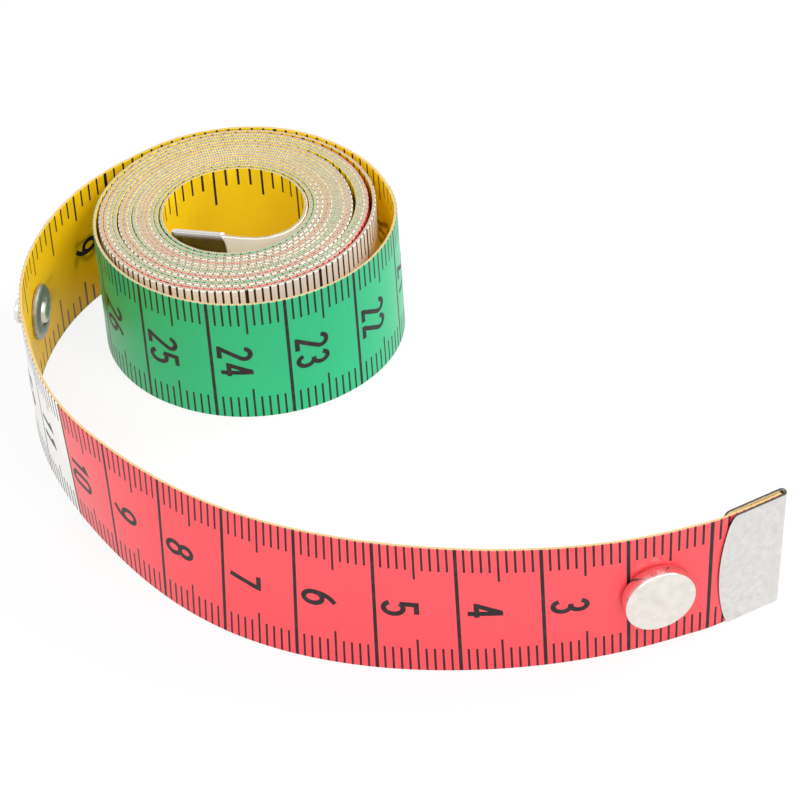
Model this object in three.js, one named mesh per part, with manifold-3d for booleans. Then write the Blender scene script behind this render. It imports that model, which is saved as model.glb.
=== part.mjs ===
// A cloth tape measure, standing on its edge: most of it is wound into a roll, the outer turn hangs
// loose, and the zero end runs off the roll and round the front in one long bend.
// Millimetres, +Z up. The origin is on the surface it stands on, under the middle of the whole piece.

import * as THREE from "three";
import { mergeVertices } from "three/addons/utils/BufferGeometryUtils.js";
import Module from "manifold-3d";

const wasm = await Module();
wasm.setup();

// The tape
const TAPE_LENGTH = 1524; // sixty inches from end to end
const TAPE_WIDTH = 18;
const TAPE_THICKNESS = 0.22;

// The roll, wound clockwise seen from above as the marks grow
const ROLL_AXIS = new THREE.Vector2(-16.8, 27.56);
const BORE_RADIUS = 8.877; // middle of the tape where the winding ends
const ROLL_START_ANGLE = -180; // degrees round the axis, where the tight winding starts
const ROLL_PITCH = 0.645; // from one turn to the next
const ROLL_STEP = 10; // degrees between the sections of a turn
const HEADING_STEP = 1; // degrees along the winding, to read its direction and length
const RADIUS_STEPS = 8; // to settle the roll's radius
const END_RUN = 2.3; // the inner end turns in from the roll's wall and runs straight to its clip
const END_CLEARANCE = 0.48; // from the straight's end to the wall
const END_BEND_STEP = 1.5; // between the sections of the bend before it, or a little less

// The loose outer turn: how far it stands off the winding, in pairs of degrees and millimetres
const LOOSE_TURN = [
  [-210, 0],
  [-180, 0.02],
  [-150, 0.4],
  [-120, 1.3],
  [-90, 2.4],
  [-60, 3.0],
  [-35, 3.05],
  [-10, 2.45],
  [15, 1.2],
  [40, 0.4],
  [70, 0.25],
  [95, 0.2],
  [125, 0.3],
];

// The free stretch, from the zero end to where it meets the loose turn
const FREE_LENGTH = 160.5;
const FREE_STEP = 2.5;
// How sharply it bends, in pairs of a mark in millimetres and degrees of turn per centimetre
const FREE_BENDS = [
  [0, 10],
  [25, 9],
  [40, 8.5],
  [70, 13.6],
  [95, 4.5],
  [115, 11.6],
  [127, 16.5],
  [139, 15],
  [150, 20],
  [160.5, 6.2],
];

// The tape's top sways out and in along the free stretch and stands upright at these marks
const LEAN = 6.2; // degrees at the most
const UPRIGHT_MARK = 31;
const LEAN_HALF_WAVE = 56.5;
const LEAN_FADE_START = 92;
const LEAN_FADE_END = 118;

// Where the free stretch flexes, as marks along the tape
const TIP_BEND_MARK = UPRIGHT_MARK;
const TAIL_BEND_MARK = UPRIGHT_MARK + LEAN_HALF_WAVE;
const LEAD_BEND_MARK = 150;
const LINK_GAP = 0.3; // between one stretch of tape and the next

// The folded metal clip on each end
const CLIP_SHEET = 0.3;
const CLIP_INSET = 0.1; // from the tape's top and bottom edges
const CLIP_EDGE_REACH = 7.8; // from the fold along the tape, at its top and bottom
const CLIP_MIDDLE_REACH = 9; // and halfway up, where its edge bows out
const FAR_CLIP_EDGE_REACH = 7.2;
const FAR_CLIP_MIDDLE_REACH = 7.6;
const CLIP_CORNER = 0.8;

// The press fastener, which closes the last turn round the roll
const CAP_MARK = 16.8;
const STUD_MARK = 132.2;
const CAP_RADIUS = 4.4;
const CAP_HEIGHT = 1.8;
const CAP_CROWN = 0.35; // the rim's rounding
const SOCKET_RADIUS = 4;
const SOCKET_HEIGHT = 2.6;
const SOCKET_WALL = 0.5;
const STUD_BASE_RADIUS = 3.2;
const STUD_BASE = 0.5;
const STUD_HEAD_RADIUS = 1.75;
const STUD_NECK_RADIUS = 1.45;
const STUD_HEIGHT = 1.8; // above its base
const STUD_WALL = 0.3;
const EYELET_RADIUS = 3.65;
const EYELET_THICKNESS = 0.6;
const EYELET_DISH_RADIUS = 1.4; // the hollow in its middle
const RIVET_RADIUS = 0.85; // the post that goes through the tape
const RIVET_FLARE = 0.65; // how much wider its turned-over end is
const SPRING_WIRE = 0.5;
const SPRING_LENGTH = 4.2;
const SEAT = 0.3; // clearance between parts that lie on each other
const ROUND_SIDES = 32;
const WIRE_SIDES = 10;

const rad = THREE.MathUtils.degToRad;
const clipInside = TAPE_THICKNESS / 2 + SEAT;
const clipOutside = clipInside + CLIP_SHEET; // the tape ends this far short of the fold's outside
const clipHeight = TAPE_WIDTH - 2 * CLIP_INSET;

// A smooth curve through pairs of a place and a value.
function curveThrough(pairs) {
  const places = pairs.map((pair) => pair[0]);
  const values = pairs.map((pair) => pair[1]);
  const curve = new THREE.CubicInterpolant(places, values, 1);
  return (place) => curve.evaluate(place)[0];
}

// Straight lines through pairs of a place and a value.
function linesThrough(pairs) {
  const places = pairs.map((pair) => pair[0]);
  const values = pairs.map((pair) => pair[1]);
  const lines = new THREE.LinearInterpolant(places, values, 1);
  return (place) => lines.evaluate(place)[0];
}

// The tape's middle line, as stations of a mark and a point on the surface it stands on

const slackAt = curveThrough(LOOSE_TURN);
const bendAt = linesThrough(FREE_BENDS);
const looseStart = LOOSE_TURN[0][0];
const leaveAngle = LOOSE_TURN.at(-1)[0];

// The inner end is a quarter turn and a straight. The quarter turn's radius brings the straight's end
// as near to the wall as the clearance lets it.
const endStraight = FAR_CLIP_MIDDLE_REACH - clipOutside + END_RUN;
const endReach = BORE_RADIUS - END_CLEARANCE;
const endOffset = BORE_RADIUS - endStraight;
const endBendRadius = (endOffset + Math.sqrt(2 * endReach ** 2 - endOffset ** 2)) / 2;
const endBendLength = (Math.PI / 2) * endBendRadius;
const windingEnd = TAPE_LENGTH - clipOutside - endBendLength - endStraight;

// The radius where the tight winding starts. Between it and the bore lies the tape that is left after
// the loose turn, and each step finds the loose turn's length with the radius of the step before.
function startRadius() {
  let radius = BORE_RADIUS;
  for (let step = 0; step < RADIUS_STEPS; step++) {
    let loose = 0;
    for (let angle = ROLL_START_ANGLE; angle < leaveAngle; angle += HEADING_STEP) {
      const growth = (ROLL_PITCH * (angle - ROLL_START_ANGLE)) / 360;
      loose += rad(HEADING_STEP) * (radius + growth + slackAt(angle));
    }
    const wound = windingEnd - FREE_LENGTH - loose;
    radius = Math.sqrt(BORE_RADIUS ** 2 + (ROLL_PITCH * wound) / Math.PI);
  }
  return radius;
}

const rollRadius = startRadius();

// The radius of the winding at an angle: it falls by the pitch with each turn as the angle goes down.
function windingRadius(angle) {
  const radius = rollRadius + (ROLL_PITCH * (angle - ROLL_START_ANGLE)) / 360;
  return angle > looseStart ? radius + slackAt(angle) : radius;
}

function windingPoint(angle) {
  const radius = windingRadius(angle);
  const turn = rad(angle);
  return new THREE.Vector2(Math.cos(turn), Math.sin(turn))
    .multiplyScalar(radius)
    .add(ROLL_AXIS);
}

const towards = (heading) => new THREE.Vector2(Math.cos(heading), Math.sin(heading));

// From the roll out to the zero end, listed the other way round so that the marks grow.
function freeStations() {
  const leaving = windingPoint(leaveAngle);
  const before = windingPoint(leaveAngle - HEADING_STEP);
  let heading = leaving.clone().sub(before).angle() + rad(HEADING_STEP / 2);
  let point = leaving;
  const stations = [];
  const count = Math.round(FREE_LENGTH / FREE_STEP);
  const step = FREE_LENGTH / count;
  for (let i = 1; i <= count; i++) {
    const mark = FREE_LENGTH - i * step;
    const turn = (rad(bendAt(mark + step / 2)) * step) / 10;
    point = point.clone().addScaledVector(towards(heading + turn / 2), step);
    heading += turn;
    stations.unshift({ mark: Math.max(mark, 0), point });
  }
  return stations;
}

// The loose turn and the winding, until only the end's bend and straight are left.
function windingStations() {
  const stations = [{ mark: FREE_LENGTH, point: windingPoint(leaveAngle) }];
  let angle = leaveAngle;
  while (stations.at(-1).mark < windingEnd) {
    const perDegree = rad(1) * windingRadius(angle);
    const turn = Math.min(ROLL_STEP, (windingEnd - stations.at(-1).mark) / perDegree);
    angle -= turn;
    const point = windingPoint(angle);
    const chord = point.distanceTo(stations.at(-1).point);
    const arc = (chord * rad(turn / 2)) / Math.sin(rad(turn / 2));
    stations.push({ mark: Math.min(stations.at(-1).mark + arc, windingEnd), point });
    if (turn < ROLL_STEP) break;
  }
  return { stations, angle };
}

// The inner end: a tighter bend away from the wall, then straight.
function endStations(start, angle) {
  const before = windingPoint(angle + HEADING_STEP);
  let heading = windingPoint(angle).sub(before).angle() - rad(HEADING_STEP / 2);
  let { mark, point } = start;
  const stations = [];
  const count = Math.ceil(endBendLength / END_BEND_STEP);
  const step = endBendLength / count;
  for (let i = 0; i < count; i++) {
    const turn = -step / endBendRadius;
    point = point.clone().addScaledVector(towards(heading + turn / 2), step);
    heading += turn;
    mark += step;
    stations.push({ mark, point });
  }
  point = point.clone().addScaledVector(towards(heading), endStraight);
  stations.push({ mark: mark + endStraight, point });
  return stations;
}

const winding = windingStations();
const line = [
  ...freeStations(),
  ...winding.stations,
  ...endStations(winding.stations.at(-1), winding.angle),
];
line.forEach((station, i) => {
  const before = line[Math.max(i - 1, 0)].point;
  const after = line[Math.min(i + 1, line.length - 1)].point;
  station.along = after.clone().sub(before).normalize();
});

// How far the tape's top leans towards its printed outer face at a mark, in degrees.
function leanAt(mark) {
  const sway = -LEAN * Math.sin((Math.PI * (mark - UPRIGHT_MARK)) / LEAN_HALF_WAVE);
  return sway * (1 - THREE.MathUtils.smoothstep(mark, LEAN_FADE_START, LEAN_FADE_END));
}

// The station at any mark, between its two neighbours on the line.
function stationAt(mark) {
  const passed = line.findLastIndex((station) => station.mark <= mark);
  const first = Math.min(passed, line.length - 2);
  const [a, b] = [line[first], line[first + 1]];
  const share = (mark - a.mark) / (b.mark - a.mark);
  return {
    mark,
    point: a.point.clone().lerp(b.point, share),
    along: a.along.clone().lerp(b.along, share).normalize(),
  };
}

// Axes at a station: x along the growing marks, y out of the printed face, z up the tape's width.
function axesAt({ mark, along }) {
  const lean = rad(leanAt(mark));
  const out = new THREE.Vector3(-along.y, along.x, 0);
  const up = new THREE.Vector3(0, 0, 1);
  const rise = out.clone().multiplyScalar(Math.sin(lean)).addScaledVector(up, Math.cos(lean));
  const x = new THREE.Vector3(along.x, along.y, 0);
  return { x, y: rise.clone().cross(x), z: rise, out };
}

// A group that sits on the tape's bottom edge at a mark and is turned with the tape there.
function seatAt(mark) {
  const station = stationAt(mark);
  const { x, y, z } = axesAt(station);
  const seat = new THREE.Group();
  seat.position.set(station.point.x, station.point.y, 0);
  seat.quaternion.setFromRotationMatrix(new THREE.Matrix4().makeBasis(x, y, z));
  return seat;
}

// Solids and cuts

function solidOf(geometry) {
  const bare = geometry.clone();
  bare.deleteAttribute("normal");
  bare.deleteAttribute("uv");
  const merged = mergeVertices(bare, 1e-4);
  return new wasm.Manifold(
    new wasm.Mesh({
      numProp: 3,
      vertProperties: merged.attributes.position.array,
      triVerts: new Uint32Array(merged.index.array),
    }),
  );
}

function geometryOf(solid) {
  const { vertProperties, triVerts } = solid.getMesh();
  const geometry = new THREE.BufferGeometry();
  geometry.setAttribute("position", new THREE.BufferAttribute(vertProperties, 3));
  geometry.setIndex(new THREE.BufferAttribute(triVerts, 1));
  geometry.computeVertexNormals();
  return geometry;
}

const subtract = (a, b) => geometryOf(solidOf(a).subtract(solidOf(b)));
const intersect = (a, b) => geometryOf(solidOf(a).intersect(solidOf(b)));

// A solid turned about the tape's y axis, from [radius, distance out of the tape] pairs that close on
// themselves or start and end on the axis.
function turnedOut(profile, closed) {
  const points = profile.map(([radius, out]) => new THREE.Vector2(radius, out));
  if (closed) points.push(points[0].clone());
  return new THREE.LatheGeometry(points, ROUND_SIDES);
}

function part(name, geometry, color, roughness, metalness) {
  const material = new THREE.MeshStandardMaterial({ color, roughness, metalness });
  const mesh = new THREE.Mesh(geometry, material);
  mesh.name = name;
  return mesh;
}

// The tape's stretches

// The stations from one mark to another, with both ends exact.
function stretch(from, to) {
  const inner = line.filter(({ mark }) => mark > from + LINK_GAP && mark < to - LINK_GAP);
  return [stationAt(from), ...inner, stationAt(to)];
}

// A flat ribbon through stations, its bottom edge on the surface and its ends closed.
function ribbon(stations) {
  const positions = [];
  for (const station of stations) {
    const { z, out } = axesAt(station);
    const foot = new THREE.Vector3(station.point.x, station.point.y, 0);
    const top = foot.clone().addScaledVector(z, TAPE_WIDTH);
    for (const [edge, side] of [[foot, 1], [top, 1], [top, -1], [foot, -1]]) {
      positions.push(...edge.clone().addScaledVector(out, (side * TAPE_THICKNESS) / 2).toArray());
    }
  }
  const index = [0, 2, 1, 0, 3, 2];
  const corners = positions.length / 3 / stations.length;
  const last = (stations.length - 1) * corners;
  for (let section = 0; section < last; section += corners) {
    for (let corner = 0; corner < corners; corner++) {
      const a = section + corner;
      const b = section + ((corner + 1) % corners);
      index.push(a, b, b + corners, a, b + corners, a + corners);
    }
  }
  index.push(last, last + 1, last + 2, last, last + 2, last + 3);
  const geometry = new THREE.BufferGeometry();
  geometry.setAttribute("position", new THREE.Float32BufferAttribute(positions, 3));
  geometry.setIndex(index);
  return geometry;
}

// The same ribbon with a rivet's hole halfway up, at a mark.
function piercedRibbon(stations, mark) {
  const seat = seatAt(mark);
  seat.updateMatrix();
  const hole = RIVET_RADIUS + SEAT;
  const drill = new THREE.CylinderGeometry(hole, hole, 2 * clipOutside, ROUND_SIDES);
  drill.translate(0, 0, TAPE_WIDTH / 2).applyMatrix4(seat.matrix);
  return subtract(ribbon(stations), drill);
}

const halfGap = LINK_GAP / 2;
const coilStations = stretch(LEAD_BEND_MARK + halfGap, TAPE_LENGTH - clipOutside);
const leadStations = stretch(TAIL_BEND_MARK + halfGap, LEAD_BEND_MARK - halfGap);
const tailStations = stretch(TIP_BEND_MARK + halfGap, TAIL_BEND_MARK - halfGap);
const tipStations = stretch(clipOutside, TIP_BEND_MARK - halfGap);

// The least room between the roll's own turns, from points along its middle line.
function leastRollGap() {
  let least = Infinity;
  coilStations.forEach((a, i) => {
    for (let j = i + 1; j < coilStations.length - 1; j++) {
      const [b, c] = [coilStations[j], coilStations[j + 1]];
      if (b.mark - a.mark < Math.PI * endBendRadius) continue;
      const chord = new THREE.Line3(
        new THREE.Vector3(b.point.x, b.point.y, 0),
        new THREE.Vector3(c.point.x, c.point.y, 0),
      );
      const from = new THREE.Vector3(a.point.x, a.point.y, 0);
      const near = chord.closestPointToPoint(from, true, new THREE.Vector3());
      least = Math.min(least, near.distanceTo(from) - TAPE_THICKNESS);
    }
  });
  return least;
}

// The folded clips

// A sheet folded over the tape's end: the outside of the fold is at x = 0 and the plates run along
// +x, with the tape's middle plane at y = 0 and its bottom edge at z = 0.
function foldedClip(edgeReach, middleReach) {
  const fold = new THREE.Shape();
  fold.moveTo(middleReach, -clipOutside);
  fold.lineTo(middleReach, -clipInside);
  fold.lineTo(clipOutside, -clipInside);
  fold.absarc(clipOutside, 0, clipInside, -Math.PI / 2, Math.PI / 2, true);
  fold.lineTo(middleReach, clipInside);
  fold.lineTo(middleReach, clipOutside);
  fold.lineTo(clipOutside, clipOutside);
  fold.absarc(clipOutside, 0, clipOutside, Math.PI / 2, -Math.PI / 2, false);
  const folded = new THREE.ExtrudeGeometry(fold, {
    depth: clipHeight,
    bevelEnabled: false,
    curveSegments: 6,
  });
  const plate = new THREE.Shape();
  plate.moveTo(-clipOutside, 0);
  plate.lineTo(edgeReach - CLIP_CORNER, 0);
  plate.quadraticCurveTo(edgeReach, 0, edgeReach, CLIP_CORNER);
  plate.quadraticCurveTo(
    2 * middleReach - edgeReach,
    clipHeight / 2,
    edgeReach,
    clipHeight - CLIP_CORNER,
  );
  plate.quadraticCurveTo(edgeReach, clipHeight, edgeReach - CLIP_CORNER, clipHeight);
  plate.lineTo(-clipOutside, clipHeight);
  const outline = new THREE.ExtrudeGeometry(plate, {
    depth: 4 * clipOutside,
    bevelEnabled: false,
    curveSegments: 10,
  });
  outline.rotateX(Math.PI / 2).translate(0, 2 * clipOutside, 0);
  return intersect(folded, outline).translate(0, 0, (TAPE_WIDTH - clipHeight) / 2);
}

// A clip seated on the tape's end; the far one faces the other way along the marks.
function endClip(name, mark, direction, edgeReach, middleReach) {
  const clip = part(name, foldedClip(edgeReach, middleReach), 0xb9bab5, 0.28, 1);
  clip.position.x = -direction * middleReach / 2;
  if (direction < 0) clip.rotation.z = Math.PI;
  const seat = seatAt(mark + (direction * middleReach) / 2);
  seat.add(clip);
  return seat;
}

// The press fastener

// How far a disc's rim stands from the bent tape when its middle lies on it.
function sagAt(mark, radius) {
  const curvature = rad(bendAt(mark)) / 10;
  return (radius ** 2 * curvature) / 2;
}

const faceOut = TAPE_THICKNESS / 2 + SEAT;
// On the tape's hollow side a flat disc lies on its rim
const socketBack = faceOut + sagAt(CAP_MARK, SOCKET_RADIUS);
const eyeletBack = faceOut + sagAt(STUD_MARK, EYELET_RADIUS);
const cavityRadius = SOCKET_RADIUS - SOCKET_WALL;
const legOffset = STUD_NECK_RADIUS + SPRING_WIRE / 2;
const legMiddle = socketBack + SOCKET_HEIGHT - SOCKET_WALL - SEAT - SPRING_WIRE / 2;

// The cap and its post, whose end is turned over inside the socket.
function snapCap() {
  const top = faceOut + CAP_HEIGHT;
  const turnedOver = -(socketBack + SOCKET_WALL + SEAT);
  const flare = RIVET_RADIUS + RIVET_FLARE;
  return turnedOut([
    [0, turnedOver - SOCKET_WALL / 2],
    [flare, turnedOver - SOCKET_WALL / 2],
    [flare, turnedOver],
    [RIVET_RADIUS, turnedOver],
    [RIVET_RADIUS, faceOut],
    [CAP_RADIUS - CAP_CROWN, faceOut],
    [CAP_RADIUS, faceOut + CAP_CROWN],
    [CAP_RADIUS, top - CAP_CROWN],
    [CAP_RADIUS - CAP_CROWN, top],
    [0, top],
  ]);
}

// The socket: a shallow drum with a hole for the post in its back and a mouth for the stud.
function snapSocket() {
  const back = -socketBack;
  const front = back - SOCKET_HEIGHT;
  const mouth = STUD_HEAD_RADIUS + SEAT;
  return turnedOut(
    [
      [RIVET_RADIUS + SEAT, back],
      [RIVET_RADIUS + SEAT, back - SOCKET_WALL],
      [cavityRadius, back - SOCKET_WALL],
      [cavityRadius, front + SOCKET_WALL],
      [mouth, front + SOCKET_WALL],
      [mouth, front],
      [SOCKET_RADIUS - SOCKET_WALL / 2, front],
      [SOCKET_RADIUS, front + SOCKET_WALL / 2],
      [SOCKET_RADIUS, back],
    ],
    true,
  );
}

// One straight leg of the wire spring that grips the stud's neck, along x.
function springLeg() {
  const wire = new THREE.CylinderGeometry(
    SPRING_WIRE / 2,
    SPRING_WIRE / 2,
    SPRING_LENGTH,
    WIRE_SIDES,
  );
  return wire.rotateZ(Math.PI / 2);
}

// The stud: a hollow knob on a flat base, open at the back for the rivet.
function snapStud() {
  const foot = faceOut;
  const base = foot + STUD_BASE;
  const top = base + STUD_HEIGHT;
  const bore = STUD_NECK_RADIUS - STUD_WALL;
  const neckTop = base + STUD_HEIGHT / 2;
  return turnedOut([
    [0, top - STUD_WALL],
    [bore, top - STUD_WALL],
    [bore, foot],
    [STUD_BASE_RADIUS, foot],
    [STUD_BASE_RADIUS, base - STUD_BASE / 3],
    [STUD_BASE_RADIUS - STUD_BASE / 2, base],
    [STUD_NECK_RADIUS, base],
    [STUD_NECK_RADIUS, neckTop],
    [STUD_HEAD_RADIUS, neckTop + STUD_WALL],
    [STUD_HEAD_RADIUS, top - STUD_WALL],
    [STUD_NECK_RADIUS, top],
    [0, top],
  ]);
}

// The eyelet: a dished washer on the inner face, with the rivet that holds the stud.
function snapEyelet() {
  const back = -eyeletBack;
  const front = back - EYELET_THICKNESS;
  const rivetEnd = faceOut + STUD_BASE + STUD_HEIGHT - STUD_WALL - SEAT;
  const dish = back - EYELET_THICKNESS / 3;
  return turnedOut([
    [0, dish],
    [EYELET_DISH_RADIUS - EYELET_THICKNESS / 2, dish],
    [EYELET_DISH_RADIUS, front],
    [EYELET_RADIUS - EYELET_THICKNESS / 2, front],
    [EYELET_RADIUS, front + EYELET_THICKNESS / 2],
    [EYELET_RADIUS, back],
    [RIVET_RADIUS, back],
    [RIVET_RADIUS, rivetEnd],
    [0, rivetEnd],
  ]);
}

// Everything in its place

const halfway = TAPE_WIDTH / 2;

function fastenerPart(name, geometry, color, roughness) {
  const mesh = part(name, geometry, color, roughness, 1);
  mesh.position.z = halfway;
  return mesh;
}

const capSeat = seatAt(CAP_MARK);
capSeat.add(
  fastenerPart("snap_cap", snapCap(), 0xc2c3be, 0.22),
  fastenerPart("snap_socket", snapSocket(), 0xb4b5b0, 0.3),
);
for (const [name, side] of [["upper", 1], ["lower", -1]]) {
  const leg = fastenerPart(`snap_spring_leg_${name}`, springLeg(), 0x9c9c98, 0.35);
  leg.position.y = -legMiddle;
  leg.position.z += side * legOffset;
  capSeat.add(leg);
}

const studSeat = seatAt(STUD_MARK);
studSeat.add(
  fastenerPart("snap_stud", snapStud(), 0xb4b5b0, 0.3),
  fastenerPart("snap_eyelet", snapEyelet(), 0xa9aaa4, 0.34),
);

const tape = new THREE.Group();
tape.name = "cloth_tape_measure";
tape.add(
  part("tape_coil", ribbon(coilStations), 0xe9dcb8, 0.6, 0),
  part("tape_lead", piercedRibbon(leadStations, STUD_MARK), 0xe0bc1e, 0.55, 0),
  part("tape_tail", ribbon(tailStations), 0xf25c60, 0.55, 0),
  part("tape_tip", piercedRibbon(tipStations, CAP_MARK), 0xf25c60, 0.55, 0),
  endClip("zero_end_clip", 0, 1, CLIP_EDGE_REACH, CLIP_MIDDLE_REACH),
  endClip("far_end_clip", TAPE_LENGTH, -1, FAR_CLIP_EDGE_REACH, FAR_CLIP_MIDDLE_REACH),
  capSeat,
  studSeat,
);

console.log(`least gap between the roll's turns ${leastRollGap().toFixed(3)} mm`);

export default tape;
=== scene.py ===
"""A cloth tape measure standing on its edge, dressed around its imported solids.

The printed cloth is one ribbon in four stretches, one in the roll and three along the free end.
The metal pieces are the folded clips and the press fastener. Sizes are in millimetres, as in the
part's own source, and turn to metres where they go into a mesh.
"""

from __future__ import annotations

import logging
import math
from collections.abc import Iterable, Iterator, Sequence
from contextlib import contextmanager
from dataclasses import dataclass, field
from enum import Enum

import bpy
import numpy as np
from mathutils import Matrix, Vector

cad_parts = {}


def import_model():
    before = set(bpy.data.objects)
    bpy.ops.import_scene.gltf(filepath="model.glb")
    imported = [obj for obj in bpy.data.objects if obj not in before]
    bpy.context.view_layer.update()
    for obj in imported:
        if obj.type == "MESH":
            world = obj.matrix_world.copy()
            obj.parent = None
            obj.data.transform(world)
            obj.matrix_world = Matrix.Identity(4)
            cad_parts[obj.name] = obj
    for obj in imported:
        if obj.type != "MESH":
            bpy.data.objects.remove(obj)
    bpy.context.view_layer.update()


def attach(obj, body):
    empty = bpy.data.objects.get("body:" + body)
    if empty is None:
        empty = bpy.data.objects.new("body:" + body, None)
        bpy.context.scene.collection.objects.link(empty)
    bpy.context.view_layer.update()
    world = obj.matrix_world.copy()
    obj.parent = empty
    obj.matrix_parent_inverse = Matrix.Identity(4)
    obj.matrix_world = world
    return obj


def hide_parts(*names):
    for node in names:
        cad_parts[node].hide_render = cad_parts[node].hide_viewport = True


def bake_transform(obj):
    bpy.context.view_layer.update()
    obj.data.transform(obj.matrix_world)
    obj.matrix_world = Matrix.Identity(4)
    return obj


MM = 0.001
CENTIMETRE = 10
INCH = 25.4
LOG = logging.getLogger("tape_measure")
TAPE_UV = "tape_mm"  # a UV map whose units are millimetres along and up the tape
CLOTH_CREASE = 32  # degrees: sharper edges of the cloth aren't shaded smooth
METAL_CREASE = 40  # nor are those of the metal
BEVEL_STEPS = 3

Point = tuple[float, float]
Faces = list[tuple[int, ...]]
Shape = tuple[np.ndarray, Faces]  # vertices and faces


class Face(Enum):
    """The tape's two faces, by the side of its middle plane that they lie on."""

    OUTER = 1
    INNER = -1

    @property
    def other(self) -> Face:
        """The face behind this one."""
        return Face(-self.value)


def smoothstep(values: np.ndarray, start: float, end: float) -> np.ndarray:
    """Values eased from 0 at start to 1 at end."""
    share = np.clip((values - start) / (end - start), 0, 1)
    return share * share * (3 - 2 * share)


def select(piece: bpy.types.Object) -> None:
    """Makes a piece the only selected object, and the active one.

    Args:
        piece: The object.
    """
    bpy.ops.object.select_all(action="DESELECT")
    piece.select_set(True)
    bpy.context.view_layer.objects.active = piece


@contextmanager
def editing(piece: bpy.types.Object) -> Iterator[None]:
    """Edit mode on one piece, with all of its mesh selected.

    Args:
        piece: The object.

    Yields:
        Nothing. Object mode comes back at the end.
    """
    select(piece)
    bpy.ops.object.mode_set(mode="EDIT")
    bpy.ops.mesh.select_all(action="SELECT")
    yield
    bpy.ops.object.mode_set(mode="OBJECT")


def smooth(piece: bpy.types.Object, degrees: float) -> None:
    """Shades a piece smooth, apart from edges sharper than an angle."""
    select(piece)
    bpy.ops.object.shade_smooth_by_angle(angle=math.radians(degrees))


def apply_modifier(piece: bpy.types.Object, kind: str, **settings: object) -> None:
    """Adds a modifier to a piece and applies it.

    Args:
        piece: The object to change.
        kind: The modifier's type, as Blender names it.
        **settings: The modifier's own settings.
    """
    select(piece)
    modifier = piece.modifiers.new(kind.lower(), kind)
    for name, value in settings.items():
        setattr(modifier, name, value)
    bpy.ops.object.modifier_apply(modifier=modifier.name)


def round_edges(piece: bpy.types.Object, width: float, degrees: float) -> None:
    """Bevels the edges of a piece that are sharper than an angle.

    Args:
        piece: The object to change.
        width: The bevel's width in millimetres.
        degrees: The angle.
    """
    apply_modifier(
        piece, "BEVEL", width=width * MM, segments=BEVEL_STEPS, limit_method="ANGLE",
        angle_limit=math.radians(degrees),
    )


def add_mesh(name: str, points: np.ndarray, faces: Faces) -> bpy.types.Object:
    """Makes an object of vertices and faces.

    Args:
        name: The name of the object and of its mesh.
        points: The vertices, as rows of x, y, z.
        faces: The numbers of each face's vertices.

    Returns:
        The object, in the scene.
    """
    mesh = bpy.data.meshes.new(name)
    mesh.from_pydata(points, [], faces)
    piece = bpy.data.objects.new(name, mesh)
    bpy.context.scene.collection.objects.link(piece)
    return piece


def joined(shapes: Iterable[Shape]) -> Shape:
    """Puts shapes together.

    Args:
        shapes: Vertices and faces of each.

    Returns:
        The vertices and faces of all of them.
    """
    points: list[np.ndarray] = []
    faces: Faces = []
    for corners, sides in shapes:
        first = sum(len(p) for p in points)
        points.append(corners)
        faces += [tuple(first + v for v in side) for side in sides]
    return np.concatenate(points), faces


def settle(piece: bpy.types.Object, place: Matrix) -> None:
    """Puts a piece modelled round the origin in its place, and the place into its mesh.

    Args:
        piece: The object.
        place: Where its origin and axes go, in metres.
    """
    select(piece)
    piece.matrix_world = place
    bpy.ops.object.transform_apply(location=True, rotation=True, scale=True)


def declare(piece: bpy.types.Object, node: str, slot: str) -> None:
    """Hides the imported solid that a finished piece replaces, and logs the piece's face count.

    Args:
        piece: The object.
        node: The node whose solid it replaces.
        slot: A material slot's name. Not used.
    """
    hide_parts(node)
    LOG.info("%s: %d faces", piece.name, len(piece.data.polygons))


@dataclass(frozen=True)
class Tape:
    """The cloth's own sizes."""

    length: float = 1524
    width: float = 18
    thickness: float = 0.42
    outer_lip: float = 0.075  # the printed coat's rounding at an edge
    inner_lip: float = 0.035  # and the thinner inner coat's
    end: float = 0.71  # the cloth stops this far short of each clip's fold

    @property
    def half(self) -> float:
        """Half the thickness."""
        return self.thickness / 2

    def lip(self, face: Face) -> float:
        """The rounding at the edges of a face."""
        return self.outer_lip if face is Face.OUTER else self.inner_lip


@dataclass(frozen=True)
class Gap:
    """A place in the roll where two neighbouring turns stand apart."""

    angle: float  # on the turn just outside it, in degrees along the winding
    spread: float  # to each side, to where the turns meet again
    width: float


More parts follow.
